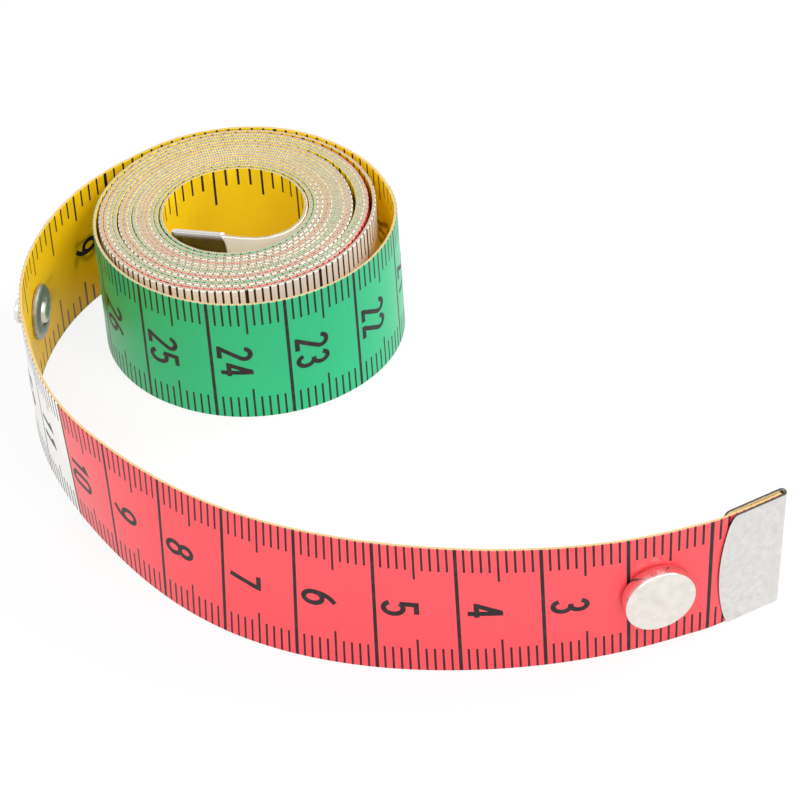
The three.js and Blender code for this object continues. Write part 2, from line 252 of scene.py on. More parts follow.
@dataclass
class TapeLine:
    """The line that the tape's middle follows over the surface it stands on."""

    tape: Tape
    axis: Point = (-16.8, 27.56)  # the roll's middle
    bore_radius: float = 8.877
    start_angle: float = -180  # round the roll, where the tight winding starts
    pitch: float = 0.645  # what a turn adds to the radius
    end_run: float = 2.3  # straight cloth before the far clip
    end_clearance: float = 0.48  # between the far end and the bore's wall
    far_clip_reach: float = 7.6
    free_length: float = 160.5  # from the zero end to where the tape meets the roll
    lean_most: float = 6.2  # the free end sways by these degrees to both sides
    upright_mark: float = 31  # where it stands upright between them
    lean_half_wave: float = 56.5
    lean_fade: tuple[float, float] = (92, 118)  # marks over which the sway ends
    loose_turn: tuple[Point, ...] = (  # angles round the roll, and how far it stands off there
        (-210, 0), (-180, 0.02), (-150, 0.4), (-120, 1.3), (-90, 2.4), (-60, 3.0), (-35, 3.05),
        (-10, 2.45), (15, 1.2), (40, 0.4), (70, 0.25), (95, 0.2), (125, 0.3),
    )
    radius_rounds: int = 8  # tries in which the roll's radius settles
    free_bends: tuple[Point, ...] = (  # marks, and the degrees of bend in a centimetre there
        (0, 10), (25, 9), (40, 8.5), (70, 13.6), (95, 4.5), (115, 11.6), (127, 16.5), (139, 15),
        (150, 20), (160.5, 6.2),
    )
    gaps: tuple[Gap, ...] = (
        Gap(-350, 80, 0.42), Gap(-1425, 60, 0.52), Gap(-170, 55, 0.2), Gap(-1612, 50, 0.2),
        Gap(-2690, 45, 0.16),
    )
    giving_turns: int = 4  # on each side of a gap, the turns that crowd together for it
    bore_ease: float = 0.045  # the innermost turns sprang open by this share of their radius
    bore_turn: float = -3.5  # and by these degrees
    eased: tuple[float, float] = (9.5, 15)  # radii over which that fades
    clamp_mark: float = 4.5  # the middle of the zero end's clip, which holds the tape straight
    clamped: tuple[float, float] = (7.5, 13)  # marks over which the tape takes up its bend again
    step: float = 0.25  # between points of the line, in millimetres
    turn_step: float = 1  # between points of the winding, in degrees
    marks: np.ndarray = field(init=False)
    points: np.ndarray = field(init=False)
    along: np.ndarray = field(init=False)
    leave_angle: float = field(init=False)
    roll_radius: float = field(init=False)

    def __post_init__(self) -> None:
        """Works out the whole line, from the zero end to the end in the bore."""
        self.leave_angle = self.loose_turn[-1][0]
        straight = self.far_clip_reach - self.tape.end + self.end_run
        reach = self.bore_radius - self.end_clearance
        offset = self.bore_radius - straight
        bend_radius = (offset + math.sqrt(2 * reach**2 - offset**2)) / 2
        winding_end = self.tape.length - self.tape.end - math.pi / 2 * bend_radius - straight
        self.roll_radius = self.settled_radius(winding_end)
        free_marks, free_points = self.free_stretch()
        wound_marks, wound_points, heading = self.winding(winding_end)
        end_marks, end_points = self.inner_end(wound_points[-1], heading, bend_radius, straight)
        self.marks = np.concatenate((free_marks, wound_marks, end_marks + winding_end))
        self.points = self.ease(np.concatenate((free_points, wound_points, end_points)))
        self.straighten_tip()
        direction = np.gradient(self.points, self.marks, axis=0)
        self.along = direction / np.linalg.norm(direction, axis=1, keepdims=True)

    def slack(self, angles: np.ndarray) -> np.ndarray:
        """How far the loose turn stands off the winding, smoothly through its given places.

        Args:
            angles: Degrees round the roll.

        Returns:
            Millimetres, and none beyond the loose turn.
        """
        places, values = np.array(self.loose_turn, float).T
        secants = np.diff(values) / np.diff(places)
        slopes = np.concatenate((secants[:1], (secants[:-1] + secants[1:]) / 2, secants[-1:]))
        first = np.clip(np.searchsorted(places, angles, side="right") - 1, 0, len(places) - 2)
        span = places[first + 1] - places[first]
        p = np.clip((angles - places[first]) / span, 0, 1)
        curve = (
            (2 * p**3 - 3 * p**2 + 1) * values[first]
            + (p**3 - 2 * p**2 + p) * span * slopes[first]
            + (3 * p**2 - 2 * p**3) * values[first + 1]
            + (p**3 - p**2) * span * slopes[first + 1]
        )
        return np.where(angles > places[0], curve, 0)

    def settled_radius(self, winding_end: float) -> float:
        """The radius where the tight winding starts.

        Args:
            winding_end: The mark where the winding stops.

        Returns:
            The radius that leaves room for the tape between it and the bore.
        """
        angles = np.arange(self.start_angle, self.leave_angle, self.turn_step)
        growth = self.pitch * (angles - self.start_angle) / 360 + self.slack(angles)
        radius = self.bore_radius
        for _ in range(self.radius_rounds):
            loose = math.radians(self.turn_step) * float(np.sum(radius + growth))
            wound = winding_end - self.free_length - loose
            radius = math.sqrt(self.bore_radius**2 + self.pitch * wound / math.pi)
        return radius

    def winding_points(self, angles: np.ndarray) -> np.ndarray:
        """Points of the winding, before gaps push its turns apart.

        Args:
            angles: Degrees round the roll.

        Returns:
            Rows of x and y.
        """
        radius = self.roll_radius + self.pitch * (angles - self.start_angle) / 360 + self.slack(angles)
        turn = np.radians(angles)
        return np.array(self.axis) + radius[:, None] * np.stack((np.cos(turn), np.sin(turn)), 1)

    def crowding(self, angles: np.ndarray) -> np.ndarray:
        """How far the gaps among the turns push the tape outwards.

        Args:
            angles: Degrees along the winding.

        Returns:
            Millimetres, below 0 where the tape is pushed inwards.
        """
        shift = np.zeros(len(angles))
        for gap in self.gaps:
            turn = np.rint((gap.angle - angles) / 360)
            beside = abs(angles - gap.angle + 360 * turn) / gap.spread
            window = np.cos(np.minimum(beside, 1) * math.pi / 2) ** 2
            outer = np.maximum(1 + turn / self.giving_turns, 0)
            inner = np.maximum(1 - (turn - 1) / self.giving_turns, 0)
            shift += gap.width / 2 * window * np.where(turn <= 0, outer, -inner)
        return shift

    def ease(self, points: np.ndarray) -> np.ndarray:
        """Lets the innermost turns, and the end that they hold, spring open a little.

        Args:
            points: Points of the line.

        Returns:
            The points after that. Those outside the roll stay as they were.
        """
        spokes = points - np.array(self.axis)
        share = 1 - smoothstep(np.linalg.norm(spokes, axis=1), *self.eased)
        grown = spokes * (1 + self.bore_ease * share)[:, None]
        turn = np.radians(self.bore_turn) * share
        crossed = np.stack((-grown[:, 1], grown[:, 0]), 1)
        return np.array(self.axis) + grown * np.cos(turn)[:, None] + crossed * np.sin(turn)[:, None]

    def straighten_tip(self) -> None:
        """Lays the zero end along one line as far as its clip reaches."""
        middle = int(np.searchsorted(self.marks, self.clamp_mark))
        run = self.points[middle + 1] - self.points[middle - 1]
        run /= self.marks[middle + 1] - self.marks[middle - 1]
        held = self.points[middle] + run * (self.marks - self.marks[middle])[:, None]
        share = 1 - smoothstep(self.marks, *self.clamped)[:, None]
        self.points = self.points + share * (held - self.points)

    def heading_at(self, angle: float, onward: float) -> float:
        """The direction of the winding at an angle, in radians, with onward as the sense of travel."""
        before, after = self.winding_points(np.array([angle - onward / 2, angle + onward / 2]))
        return math.atan2(*(after - before)[::-1])

    def free_stretch(self) -> tuple[np.ndarray, np.ndarray]:
        """The stretch from the zero end to just before the loose turn.

        Returns:
            Its marks and its points.
        """
        count = round(self.free_length / self.step)
        step = self.free_length / count
        middles = self.free_length - step * (np.arange(count) + 0.5)
        places, bends = np.array(self.free_bends, float).T
        turns = np.radians(np.interp(middles, places, bends)) * step / CENTIMETRE
        headings = self.heading_at(self.leave_angle, self.turn_step) + np.cumsum(turns) - turns / 2
        moves = step * np.stack((np.cos(headings), np.sin(headings)), 1)
        points = self.winding_points(np.array([self.leave_angle])) + np.cumsum(moves, axis=0)
        marks = self.free_length - step * np.arange(1, count + 1)
        return marks[::-1], points[::-1]

    def winding(self, winding_end: float) -> tuple[np.ndarray, np.ndarray, float]:
        """The loose turn and the tight winding.

        Args:
            winding_end: The mark where it stops.

        Returns:
            Its marks, its points, and its direction where it stops.
        """
        turns = math.ceil(winding_end / (2 * math.pi * self.bore_radius))
        angles = self.leave_angle - self.turn_step * np.arange(turns * 360)
        points = self.winding_points(angles)
        steps = np.linalg.norm(np.diff(points, axis=0), axis=1)
        marks = self.free_length + np.concatenate(([0], np.cumsum(steps)))
        last = int(np.searchsorted(marks, winding_end))
        share = (winding_end - marks[last - 1]) / (marks[last] - marks[last - 1])
        end_angle = angles[last - 1] - self.turn_step * share
        points[last] = self.winding_points(np.array([end_angle]))[0]
        marks[last] = winding_end
        spokes = points - np.array(self.axis)
        spokes /= np.linalg.norm(spokes, axis=1, keepdims=True)
        points += spokes * self.crowding(angles)[:, None]
        return marks[: last + 1], points[: last + 1], self.heading_at(end_angle, -self.turn_step)

    def inner_end(
        self, start: np.ndarray, heading: float, radius: float, straight: float
    ) -> tuple[np.ndarray, np.ndarray]:
        """The quarter turn away from the bore's wall and the straight through the far clip.

        Args:
            start: Where the winding stops.
            heading: The direction there, in radians.
            radius: The quarter turn's radius.
            straight: The straight's length.

        Returns:
            Distances from the start, and points.
        """
        bend = math.pi / 2 * radius
        count = math.ceil((bend + straight) / self.step)
        distances = (bend + straight) * np.arange(1, count + 1) / count
        middles = distances - distances[0] / 2
        headings = heading - np.minimum(middles, bend) / radius
        moves = distances[0] * np.stack((np.cos(headings), np.sin(headings)), 1)
        return distances, start + np.cumsum(moves, axis=0)

    def lean(self, marks: np.ndarray) -> np.ndarray:
        """How far the top leans towards the outer face, in radians."""
        sway = -self.lean_most * np.sin(math.pi * (marks - self.upright_mark) / self.lean_half_wave)
        return np.radians(sway * (1 - smoothstep(marks, *self.lean_fade)))

    def axes(self, marks: np.ndarray) -> tuple[np.ndarray, np.ndarray, np.ndarray, np.ndarray]:
        """Places and directions at marks.

        Args:
            marks: Millimetres from the zero end.

        Returns:
            The foot on the surface, the direction of growing marks, the level direction out of the
            outer face, and the direction up the tape's width, each as rows of x, y, z.
        """
        flat = np.zeros((len(marks), 3))
        foot, along = flat.copy(), flat.copy()
        for i in range(2):
            foot[:, i] = np.interp(marks, self.marks, self.points[:, i])
            along[:, i] = np.interp(marks, self.marks, self.along[:, i])
        along /= np.linalg.norm(along, axis=1, keepdims=True)
        out = np.stack((-along[:, 1], along[:, 0], flat[:, 2]), 1)
        lean = self.lean(marks)[:, None]
        rise = out * np.sin(lean) + np.array([0, 0, 1]) * np.cos(lean)
        return foot, along, out, rise

    def place(self, marks: np.ndarray, heights: np.ndarray, offsets: np.ndarray) -> np.ndarray:
        """Points in metres at marks, heights up the tape and offsets out of its middle plane."""
        foot, _, out, rise = self.axes(marks)
        return MM * (foot + rise * heights[:, None] + out * offsets[:, None])

    def seat(self, mark: float, height: float) -> Matrix:
        """Where a piece sits on the tape.

        Args:
            mark: Millimetres from the zero end.
            height: Millimetres up the tape.

        Returns:
            A matrix in metres, whose Z comes out of the outer face.
        """
        foot, along, _, rise = (Vector(rows[0]) for rows in self.axes(np.array([mark])))
        outward = rise.cross(along)
        turn = Matrix((along, -rise, outward)).transposed()
        return Matrix.Translation((foot + rise * height) * MM) @ turn.to_4x4()


def linear(colour: str) -> tuple[float, float, float, float]:
    """Turns an sRGB colour to linear values.

    Args:
        colour: Six hex digits.

    Returns:
        Red, green, blue and a full alpha.
    """
    shares = [int(colour[i : i + 2], 16) / 255 for i in (0, 2, 4)]
    curve = [s / 12.92 if s <= 0.04045 else ((s + 0.055) / 1.055) ** 2.4 for s in shares]
    return (*curve, 1.0)


def add_node(
    tree: bpy.types.NodeTree, kind: str, settings: dict[str, object], **inputs: object
) -> bpy.types.Node:
    """Adds a node with its settings and inputs.

    Args:
        tree: The material's or world's node tree.
        kind: The node's type name.
        settings: Values of the node's own properties.
        **inputs: An input's name, with _ for a space, and a value or an output socket to link. A name
            such as n0 gives an input by its number.

    Returns:
        The new node.
    """
    node = tree.nodes.new(kind)
    for name, value in settings.items():
        setattr(node, name, value)
    for name, value in inputs.items():
        by_number = name[0] == "n" and name[1:].isdigit()
        socket = node.inputs[int(name[1:])] if by_number else node.inputs[name.replace("_", " ")]
        if isinstance(value, bpy.types.NodeSocket):
            tree.links.new(value, socket)
        else:
            socket.default_value = value
    return node


def start_material(name: str) -> tuple[bpy.types.Material, bpy.types.NodeTree]:
    """Makes an empty node material.

    Args:
        name: Its name.

    Returns:
        The material and its node tree.
    """
    material = bpy.data.materials.new(name)
    material.use_nodes = True
    material.node_tree.nodes.clear()
    return material, material.node_tree


def finish_material(tree: bpy.types.NodeTree, shader: bpy.types.Node) -> None:
    """Links a shader to the material's output."""
    add_node(tree, "ShaderNodeOutputMaterial", {}, Surface=shader.outputs[0])


WAVE_PERIOD = math.pi / 10  # of a band texture at scale 1
FREE_END = (180, 330)  # the marks over which the free end's finish passes into the roll's


def free_share(
    tree: bpy.types.NodeTree, marks: bpy.types.NodeSocket, most: float
) -> bpy.types.NodeSocket:
    """A value that the free end has and the roll hasn't.

    Args:
        tree: The material's node tree.
        marks: The socket that gives the mark.
        most: The value on the free end.

    Returns:
        The socket that gives it. It falls to 0 in the roll.
    """
    return add_node(
        tree, "ShaderNodeMapRange", {"interpolation_type": "SMOOTHSTEP"}, Value=marks,
        From_Min=FREE_END[0], From_Max=FREE_END[1], To_Min=most, To_Max=0.0,
    ).outputs[0]


@dataclass(frozen=True)
class CoatedCloth:
    """Glass-fibre cloth under a calendered PVC coat: satin, a little uneven, threads just showing."""

    name: str
    colour: str
    worn: str  # where the coat is thin or chipped at the edges
    handled: str = ""  # the colour of the free end, more golden as painted glow of the light through the thin cloth
    through: float = 0.0  # the share of the free end's light that comes through the thin cloth
    through_mm: float = 2.0  # how far light runs inside it
    through_tint: tuple[float, float, float] = (1.0, 0.9, 0.6)  # red, green and blue shares of that
    ior: float = 1.54
    shine: float = 0.5  # the coat's specular level
    roughness: float = 0.31
    uneven: tuple[float, float] = (-0.06, 0.08)  # how the roughness varies
    mottle_mm: float = 7
    mottle: tuple[float, float] = (0.92, 1.06)  # its darkest and palest shade
    thread_mm: float = 0.55  # drawn coarser than the real 0.3 mm, which the render can't hold
    thread_waver: float = 1.2
    threads: tuple[float, float] = (0.975, 1.025)  # painted shade between them and painted light on them
    thread_relief: float = 0.15
    thread_depth_mm: float = 0.03
    chip_mm: float = 0.5
    chips: tuple[float, float] = (0.5, 0.68)  # a chip starts at the first and is bare at the second
    edge_mm: float = 0.22  # how far chips reach in from an edge
    width_mm: float = Tape.width

    def material(self) -> bpy.types.Material:
        """Builds the finish.

        Returns:
            The material.
        """
        material, tree = start_material(self.name)
        place = add_node(tree, "ShaderNodeUVMap", {"uv_map": TAPE_UV}).outputs[0]
        marks, heights, _ = add_node(tree, "ShaderNodeSeparateXYZ", {}, Vector=place).outputs
        mottle = add_node(
            tree, "ShaderNodeTexNoise", {}, Vector=place, Scale=1 / self.mottle_mm, Detail=3.0
        ).outputs[0]
        weave = self.weave(tree, place)
        clouds = add_node(
            tree, "ShaderNodeMapRange", {}, Value=mottle, To_Min=self.mottle[0], To_Max=self.mottle[1]
        ).outputs[0]
        # Painted shade from the weave: darker in the hollows between threads, lighter on them.
        painted_weave_shade = add_node(
            tree, "ShaderNodeMapRange", {}, Value=weave, To_Min=self.threads[0], To_Max=self.threads[1]
        ).outputs[0]
        shade = add_node(
            tree, "ShaderNodeMath", {"operation": "MULTIPLY"}, n0=clouds, n1=painted_weave_shade
        ).outputs[0]
        coat: object = linear(self.colour)
        glow: object = 0.0
        # The free end takes a more golden colour: painted glow of the light through the thin cloth.
        if self.handled:
            coat = add_node(
                tree, "ShaderNodeMix", {"data_type": "RGBA"},
                n0=free_share(tree, marks, 1.0), n6=coat, n7=linear(self.handled),
            ).outputs[2]
            glow = free_share(tree, marks, self.through)
        tint = add_node(
            tree, "ShaderNodeMix", {"data_type": "RGBA", "blend_type": "MULTIPLY"},
            n0=1.0, n6=coat, n7=shade,
        ).outputs[2]
        colour = add_node(
            tree, "ShaderNodeMix", {"data_type": "RGBA"},
            n0=self.wear(tree, place, heights), n6=tint, n7=linear(self.worn),
        ).outputs[2]
        bump = add_node(
            tree, "ShaderNodeBump", {}, Strength=self.thread_relief, Distance=self.thread_depth_mm * MM,
            Height=weave,
        ).outputs[0]
        gloss = add_node(
            tree, "ShaderNodeMapRange", {}, Value=mottle,
            To_Min=self.roughness + self.uneven[0], To_Max=self.roughness + self.uneven[1],
        ).outputs[0]
        shader = add_node(
            tree, "ShaderNodeBsdfPrincipled", {}, Base_Color=colour, Roughness=gloss, IOR=self.ior,
            Specular_IOR_Level=self.shine, Subsurface_Weight=glow, Subsurface_Radius=self.through_tint,
            Subsurface_Scale=self.through_mm * MM, Normal=bump,
        )
        finish_material(tree, shader)
        return material

    def weave(self, tree: bpy.types.NodeTree, place: bpy.types.NodeSocket) -> bpy.types.NodeSocket:
        """The cloth's threads, along and across.

        Args:
            tree: The material's node tree.
            place: The socket that gives the mark and the height.

        Returns:
            The socket that gives 1 where threads cross and 0 between them.
        """
        along, across = (
            add_node(
                tree, "ShaderNodeTexWave", {"bands_direction": direction}, Vector=place,
                Scale=WAVE_PERIOD / self.thread_mm, Distortion=self.thread_waver, Detail=2.0,
            ).outputs["Fac"]
            for direction in ("X", "Y")
        )
        return add_node(
            tree, "ShaderNodeMath", {"operation": "MULTIPLY"}, n0=along, n1=across
        ).outputs[0]

    def wear(
        self, tree: bpy.types.NodeTree, place: bpy.types.NodeSocket, heights: bpy.types.NodeSocket
    ) -> bpy.types.NodeSocket:
        """Small chips along both edges of the tape.

        Args:
            tree: The material's node tree.
            place: The socket that gives the mark and the height.
            heights: The socket that gives the height alone.

        Returns:
            The socket that gives 1 where the coat is gone.
        """
        half = self.width_mm / 2
        middle = add_node(
            tree, "ShaderNodeMath", {"operation": "SUBTRACT"}, n0=heights, n1=half
        ).outputs[0]
        away = add_node(tree, "ShaderNodeMath", {"operation": "ABSOLUTE"}, n0=middle).outputs[0]
        edge = add_node(
            tree, "ShaderNodeMapRange", {}, Value=away, From_Min=half - self.edge_mm, From_Max=half
        ).outputs[0]
        chips = add_node(
            tree, "ShaderNodeTexNoise", {}, Vector=place, Scale=1 / self.chip_mm, Detail=2.0
        ).outputs[0]
        chipped = add_node(
            tree, "ShaderNodeMath", {"operation": "MULTIPLY"}, n0=edge, n1=chips
        ).outputs[0]
        return add_node(
            tree, "ShaderNodeMapRange", {}, Value=chipped,
            From_Min=self.chips[0], From_Max=self.chips[1],
        ).outputs[0]


@dataclass(frozen=True)
class ScaleInk:
    """Screen-printed vinyl ink: satin as the coat, nearly black, thinner in places."""

    name: str = "screen_printed_ink"
    colour: str = "150F11"
    thin: str = "33282A"
    patch_mm: float = 0.9
    patches: tuple[float, float] = (0.45, 0.75)  # the ink thins from the first value to the second
    roughness: float = 0.42
    ior: float = 1.42

    def material(self) -> bpy.types.Material:
        """Builds the finish.

        Returns:
            The material.
        """
        material, tree = start_material(self.name)
        place = add_node(tree, "ShaderNodeTexCoord", {}).outputs["Object"]
        patches = add_node(
            tree, "ShaderNodeTexNoise", {}, Vector=place, Scale=1 / (self.patch_mm * MM), Detail=2.0
        ).outputs[0]
        thinned = add_node(
            tree, "ShaderNodeMapRange", {}, Value=patches,
            From_Min=self.patches[0], From_Max=self.patches[1],
        ).outputs[0]
        colour = add_node(
            tree, "ShaderNodeMix", {"data_type": "RGBA"},
            n0=thinned, n6=linear(self.colour), n7=linear(self.thin),
        ).outputs[2]
        shader = add_node(
            tree, "ShaderNodeBsdfPrincipled", {},
            Base_Color=colour, Roughness=self.roughness, IOR=self.ior,
        )
        finish_material(tree, shader)
        return material


@dataclass(frozen=True)
class CutEdge:
    """The slit edge of the cloth: cream yarn ends in a row, dry and rough, with painted shade in the
    gaps between them.
    """

    name: str = "slit_cloth_edge"
    yarn: str = "C4BAA8"
    # The gaps between the yarn ends are coloured darker as painted shade.
    gap: str = "94866A"
    yarn_mm: float = 0.34
    yarn_waver: float = 2.5
    yarn_fray: float = 1.5
    blotch_yarns: float = 3  # a blotch is as wide as so many yarns
    gap_below: float = 0.4  # the pattern's value from which no gap shows
    clean: str = "DDBC74"  # the free end's paler edge, laid over most of the yarns and their painted shade
    clean_share: float = 0.7
    relief: float = 0.1
    depth_mm: float = 0.03
    roughness: float = 0.85

    def material(self) -> bpy.types.Material:
        """Builds the finish.

        Returns:
            The material.
        """
        material, tree = start_material(self.name)
        place = add_node(tree, "ShaderNodeUVMap", {"uv_map": TAPE_UV}).outputs[0]
        marks = add_node(tree, "ShaderNodeSeparateXYZ", {}, Vector=place).outputs[0]
        ends = add_node(
            tree, "ShaderNodeTexWave", {}, Vector=place, Scale=WAVE_PERIOD / self.yarn_mm,
            Distortion=self.yarn_waver, Detail=2.0, Detail_Scale=self.yarn_fray,
        ).outputs["Fac"]
        blotches = add_node(
            tree, "ShaderNodeTexNoise", {}, Vector=place,
            Scale=1 / (self.blotch_yarns * self.yarn_mm), Detail=3.0,
        ).outputs[0]
        both = add_node(
            tree, "ShaderNodeMath", {"operation": "MULTIPLY"}, n0=ends, n1=blotches
        ).outputs[0]
        share = add_node(
            tree, "ShaderNodeMapRange", {}, Value=both, From_Min=0.0, From_Max=self.gap_below
        ).outputs[0]
        # Painted shade: the yarns darken into the gaps between them, where the bump sinks.
        shaded_yarns = add_node(
            tree, "ShaderNodeMix", {"data_type": "RGBA"},
            n0=share, n6=linear(self.gap), n7=linear(self.yarn),
        ).outputs[2]
        colour = add_node(
            tree, "ShaderNodeMix", {"data_type": "RGBA"},
            n0=free_share(tree, marks, self.clean_share), n6=shaded_yarns, n7=linear(self.clean),
        ).outputs[2]
        bump = add_node(
            tree, "ShaderNodeBump", {}, Strength=self.relief, Distance=self.depth_mm * MM, Height=ends
        ).outputs[0]
        shader = add_node(
            tree, "ShaderNodeBsdfPrincipled", {},
            Base_Color=colour, Roughness=self.roughness, Normal=bump,
        )
        finish_material(tree, shader)
        return material


@dataclass(frozen=True)
class NickelPlate:
    """Plated or tumbled metal: a satin with faint upright rolling marks, duller in small stains."""

    name: str
    colour: str = "EAE8E4"
    dull: str = "D5D2CE"
    roughness: float = 0.3
    uneven: tuple[float, float] = (-0.07, 0.12)  # how the roughness varies
    polish: tuple[float, float] = (0.6, 1.4)  # the sums of stain and grain that it varies between
    stain_mm: float = 3.5
    grain_mm: float = 0.16  # drawn coarser than real tumbling marks so that it shows
    grain_squeeze: float = 0.12  # its width over its height
    relief: float = 0.25
    depth_mm: float = 0.02

    def material(self) -> bpy.types.Material:
        """Builds the finish.

        Returns:
            The material.
        """
        material, tree = start_material(self.name)
        place = add_node(tree, "ShaderNodeTexCoord", {}).outputs["Object"]
        stain = add_node(
            tree, "ShaderNodeTexNoise", {}, Vector=place, Scale=1 / (self.stain_mm * MM), Detail=4.0
        ).outputs[0]
        stretched = add_node(
            tree, "ShaderNodeMapping", {}, Vector=place, Scale=(1.0, 1.0, self.grain_squeeze)
        ).outputs[0]
        grain = add_node(
            tree, "ShaderNodeTexNoise", {}, Vector=stretched, Scale=1 / (self.grain_mm * MM), Detail=2.0
        ).outputs[0]
        colour = add_node(
            tree, "ShaderNodeMix", {"data_type": "RGBA"},
            n0=stain, n6=linear(self.colour), n7=linear(self.dull),
        ).outputs[2]
        mixed = add_node(
            tree, "ShaderNodeMath", {"operation": "ADD"}, n0=stain, n1=grain
        ).outputs[0]
        gloss = add_node(
            tree, "ShaderNodeMapRange", {}, Value=mixed,
            From_Min=self.polish[0], From_Max=self.polish[1],
            To_Min=self.roughness + self.uneven[0], To_Max=self.roughness + self.uneven[1],
        ).outputs[0]
        bump = add_node(
            tree, "ShaderNodeBump", {}, Strength=self.relief, Distance=self.depth_mm * MM, Height=grain
        ).outputs[0]
        shader = add_node(
            tree, "ShaderNodeBsdfPrincipled", {}, Base_Color=colour, Roughness=gloss, Metallic=1.0,
            Normal=bump,
        )
        finish_material(tree, shader)
        return material


@dataclass(frozen=True)
class TickRow:
    """One kind of mark on a printed scale."""

    every: int  # in the scale's smallest steps
    half_width: float
    reach: float  # from the tape's edge


@dataclass(frozen=True)
class PrintedScale:
    """A scale along one face of the tape."""

    face: Face
    step: float
    last: int  # the number of steps that are printed
    numbered: int  # every so many steps
    number_gap: float  # between a line and the foot of its number
    seen_to: float  # beyond this mark the turns cover the numbers, and none are modelled
    rows: tuple[TickRow, ...]  # the finest first

    def edges(self) -> np.ndarray:
        """Where the printed lines start and stop.

        Returns:
            Their marks.
        """
        numbers = np.arange(1, self.last + 1)
        half = self.styles(numbers)[0]
        return np.concatenate((numbers * self.step - half, numbers * self.step + half))

    def styles(self, numbers: np.ndarray) -> tuple[np.ndarray, np.ndarray]:
        """How wide and how long lines are.

        Args:
            numbers: The lines' numbers, in steps from the zero end.

        Returns:
            Half their widths, and their reaches from the tape's edge.
        """
        half = np.zeros(len(numbers))
        reach = np.zeros(len(numbers))
        for row in self.rows:
            chosen = numbers % row.every == 0
            half[chosen] = row.half_width
            reach[chosen] = row.reach
        return half, reach

    def reach_at(self, marks: np.ndarray) -> np.ndarray:
        """How far in from its edges the tape is inked.

        Args:
            marks: Millimetres from the zero end.

        Returns:
            The reaches, and 0 between the lines.
        """
        numbers = np.rint(marks / self.step).astype(int)
        half, reach = self.styles(numbers)
        inked = (abs(marks - numbers * self.step) < half) & (numbers >= 1) & (numbers <= self.last)
        return np.where(inked, reach, 0)


FULL_WIDTH = 9.5  # past the tape's middle, so that lines from both edges meet
CENTIMETRES = PrintedScale(
    face=Face.OUTER, step=1.0, last=1500, numbered=CENTIMETRE, number_gap=0.8, seen_to=300,
    rows=(TickRow(1, 0.14, 3.3), TickRow(5, 0.14, 4.6), TickRow(CENTIMETRE, 0.22, FULL_WIDTH)),
)
INCHES = PrintedScale(
    face=Face.INNER, step=INCH / 16, last=60 * 16 - 1, numbered=16, number_gap=3.0, seen_to=190,
    rows=(TickRow(1, 0.15, 2.6), TickRow(4, 0.16, 4.0), TickRow(8, 0.16, 5.4), TickRow(16, 0.26, 5.4)),
)


class Ink(Enum):
    """The cloth's material slots, in order."""

    RED = 0
    WHITE = 1
    GREEN = 2
    YELLOW = 3
    BLACK = 4
    EDGE = 5


FIELDS = (Ink.RED, Ink.WHITE, Ink.GREEN, Ink.WHITE)  # the outer face's colours, in turn
FIELD_LENGTH = 100


@dataclass(frozen=True)
class SectionPoint:
    """A corner of the tape's section, and what lies between it and the next corner."""

    offset: float
    height: float
    face: Face | None  # none on the slit edge
    depth: float  # how far in from the nearer edge the strip after this corner reaches


def tape_section(tape: Tape) -> list[SectionPoint]:
    """The tape's section, up the outer face, over the top, down the inner face and back.

    Args:
        tape: The cloth's sizes.

    Returns:
        Its corners. Each face has a strip for every length of printed line.
    """
    corners: list[SectionPoint] = []
    for scale in (CENTIMETRES, INCHES):
        side = scale.face.value
        behind = scale.face.other
        lip = tape.lip(scale.face)
        depths = sorted({row.reach for row in scale.rows if row.reach < tape.width / 2})
        up = [lip, *depths, *(tape.width - d for d in reversed(depths))]
        strips = [*depths, tape.width / 2, *reversed(depths)]
        if scale.face is Face.INNER:
            up = [tape.width - height for height in up]
        corners += [
            SectionPoint(side * tape.half, height, scale.face, depth)
            for height, depth in zip(up, strips)
        ]
        tip = tape.width if scale.face is Face.OUTER else 0.0
        corners += [
            SectionPoint(side * tape.half, abs(tip - lip), scale.face, 0.0),
            SectionPoint(side * (tape.half - lip), tip, None, 0.0),
            SectionPoint(-side * (tape.half - tape.lip(behind)), tip, behind, 0.0),
        ]
    return corners


def arc(middle: Point, radii: Point, start: float, end: float) -> list[Point]:
    """Points along an arc of an ellipse.

    Args:
        middle: Its centre.
        radii: Its half width and half height.
        start: The angle it starts at, in degrees.
        end: The angle it stops at.

    Returns:
        Points about ten degrees apart.
    """
    turns = np.radians(np.linspace(start, end, max(round(abs(end - start) / 10), 1) + 1))
    return [(middle[0] + radii[0] * math.cos(t), middle[1] + radii[1] * math.sin(t)) for t in turns]


def swoop(start: Point, pull: Point, end: Point) -> list[Point]:
    """Points along a curve that leaves and arrives in line with a point beside it.

    Args:
        start: Where it starts.
        pull: The point beside it.
        end: Where it stops.

    Returns:
        Nine points.
    """
    shares = np.linspace(0, 1, 9)
    return [
        tuple((1 - s) ** 2 * a + 2 * s * (1 - s) * b + s**2 * c for a, b, c in zip(start, pull, end))
        for s in shares
    ]


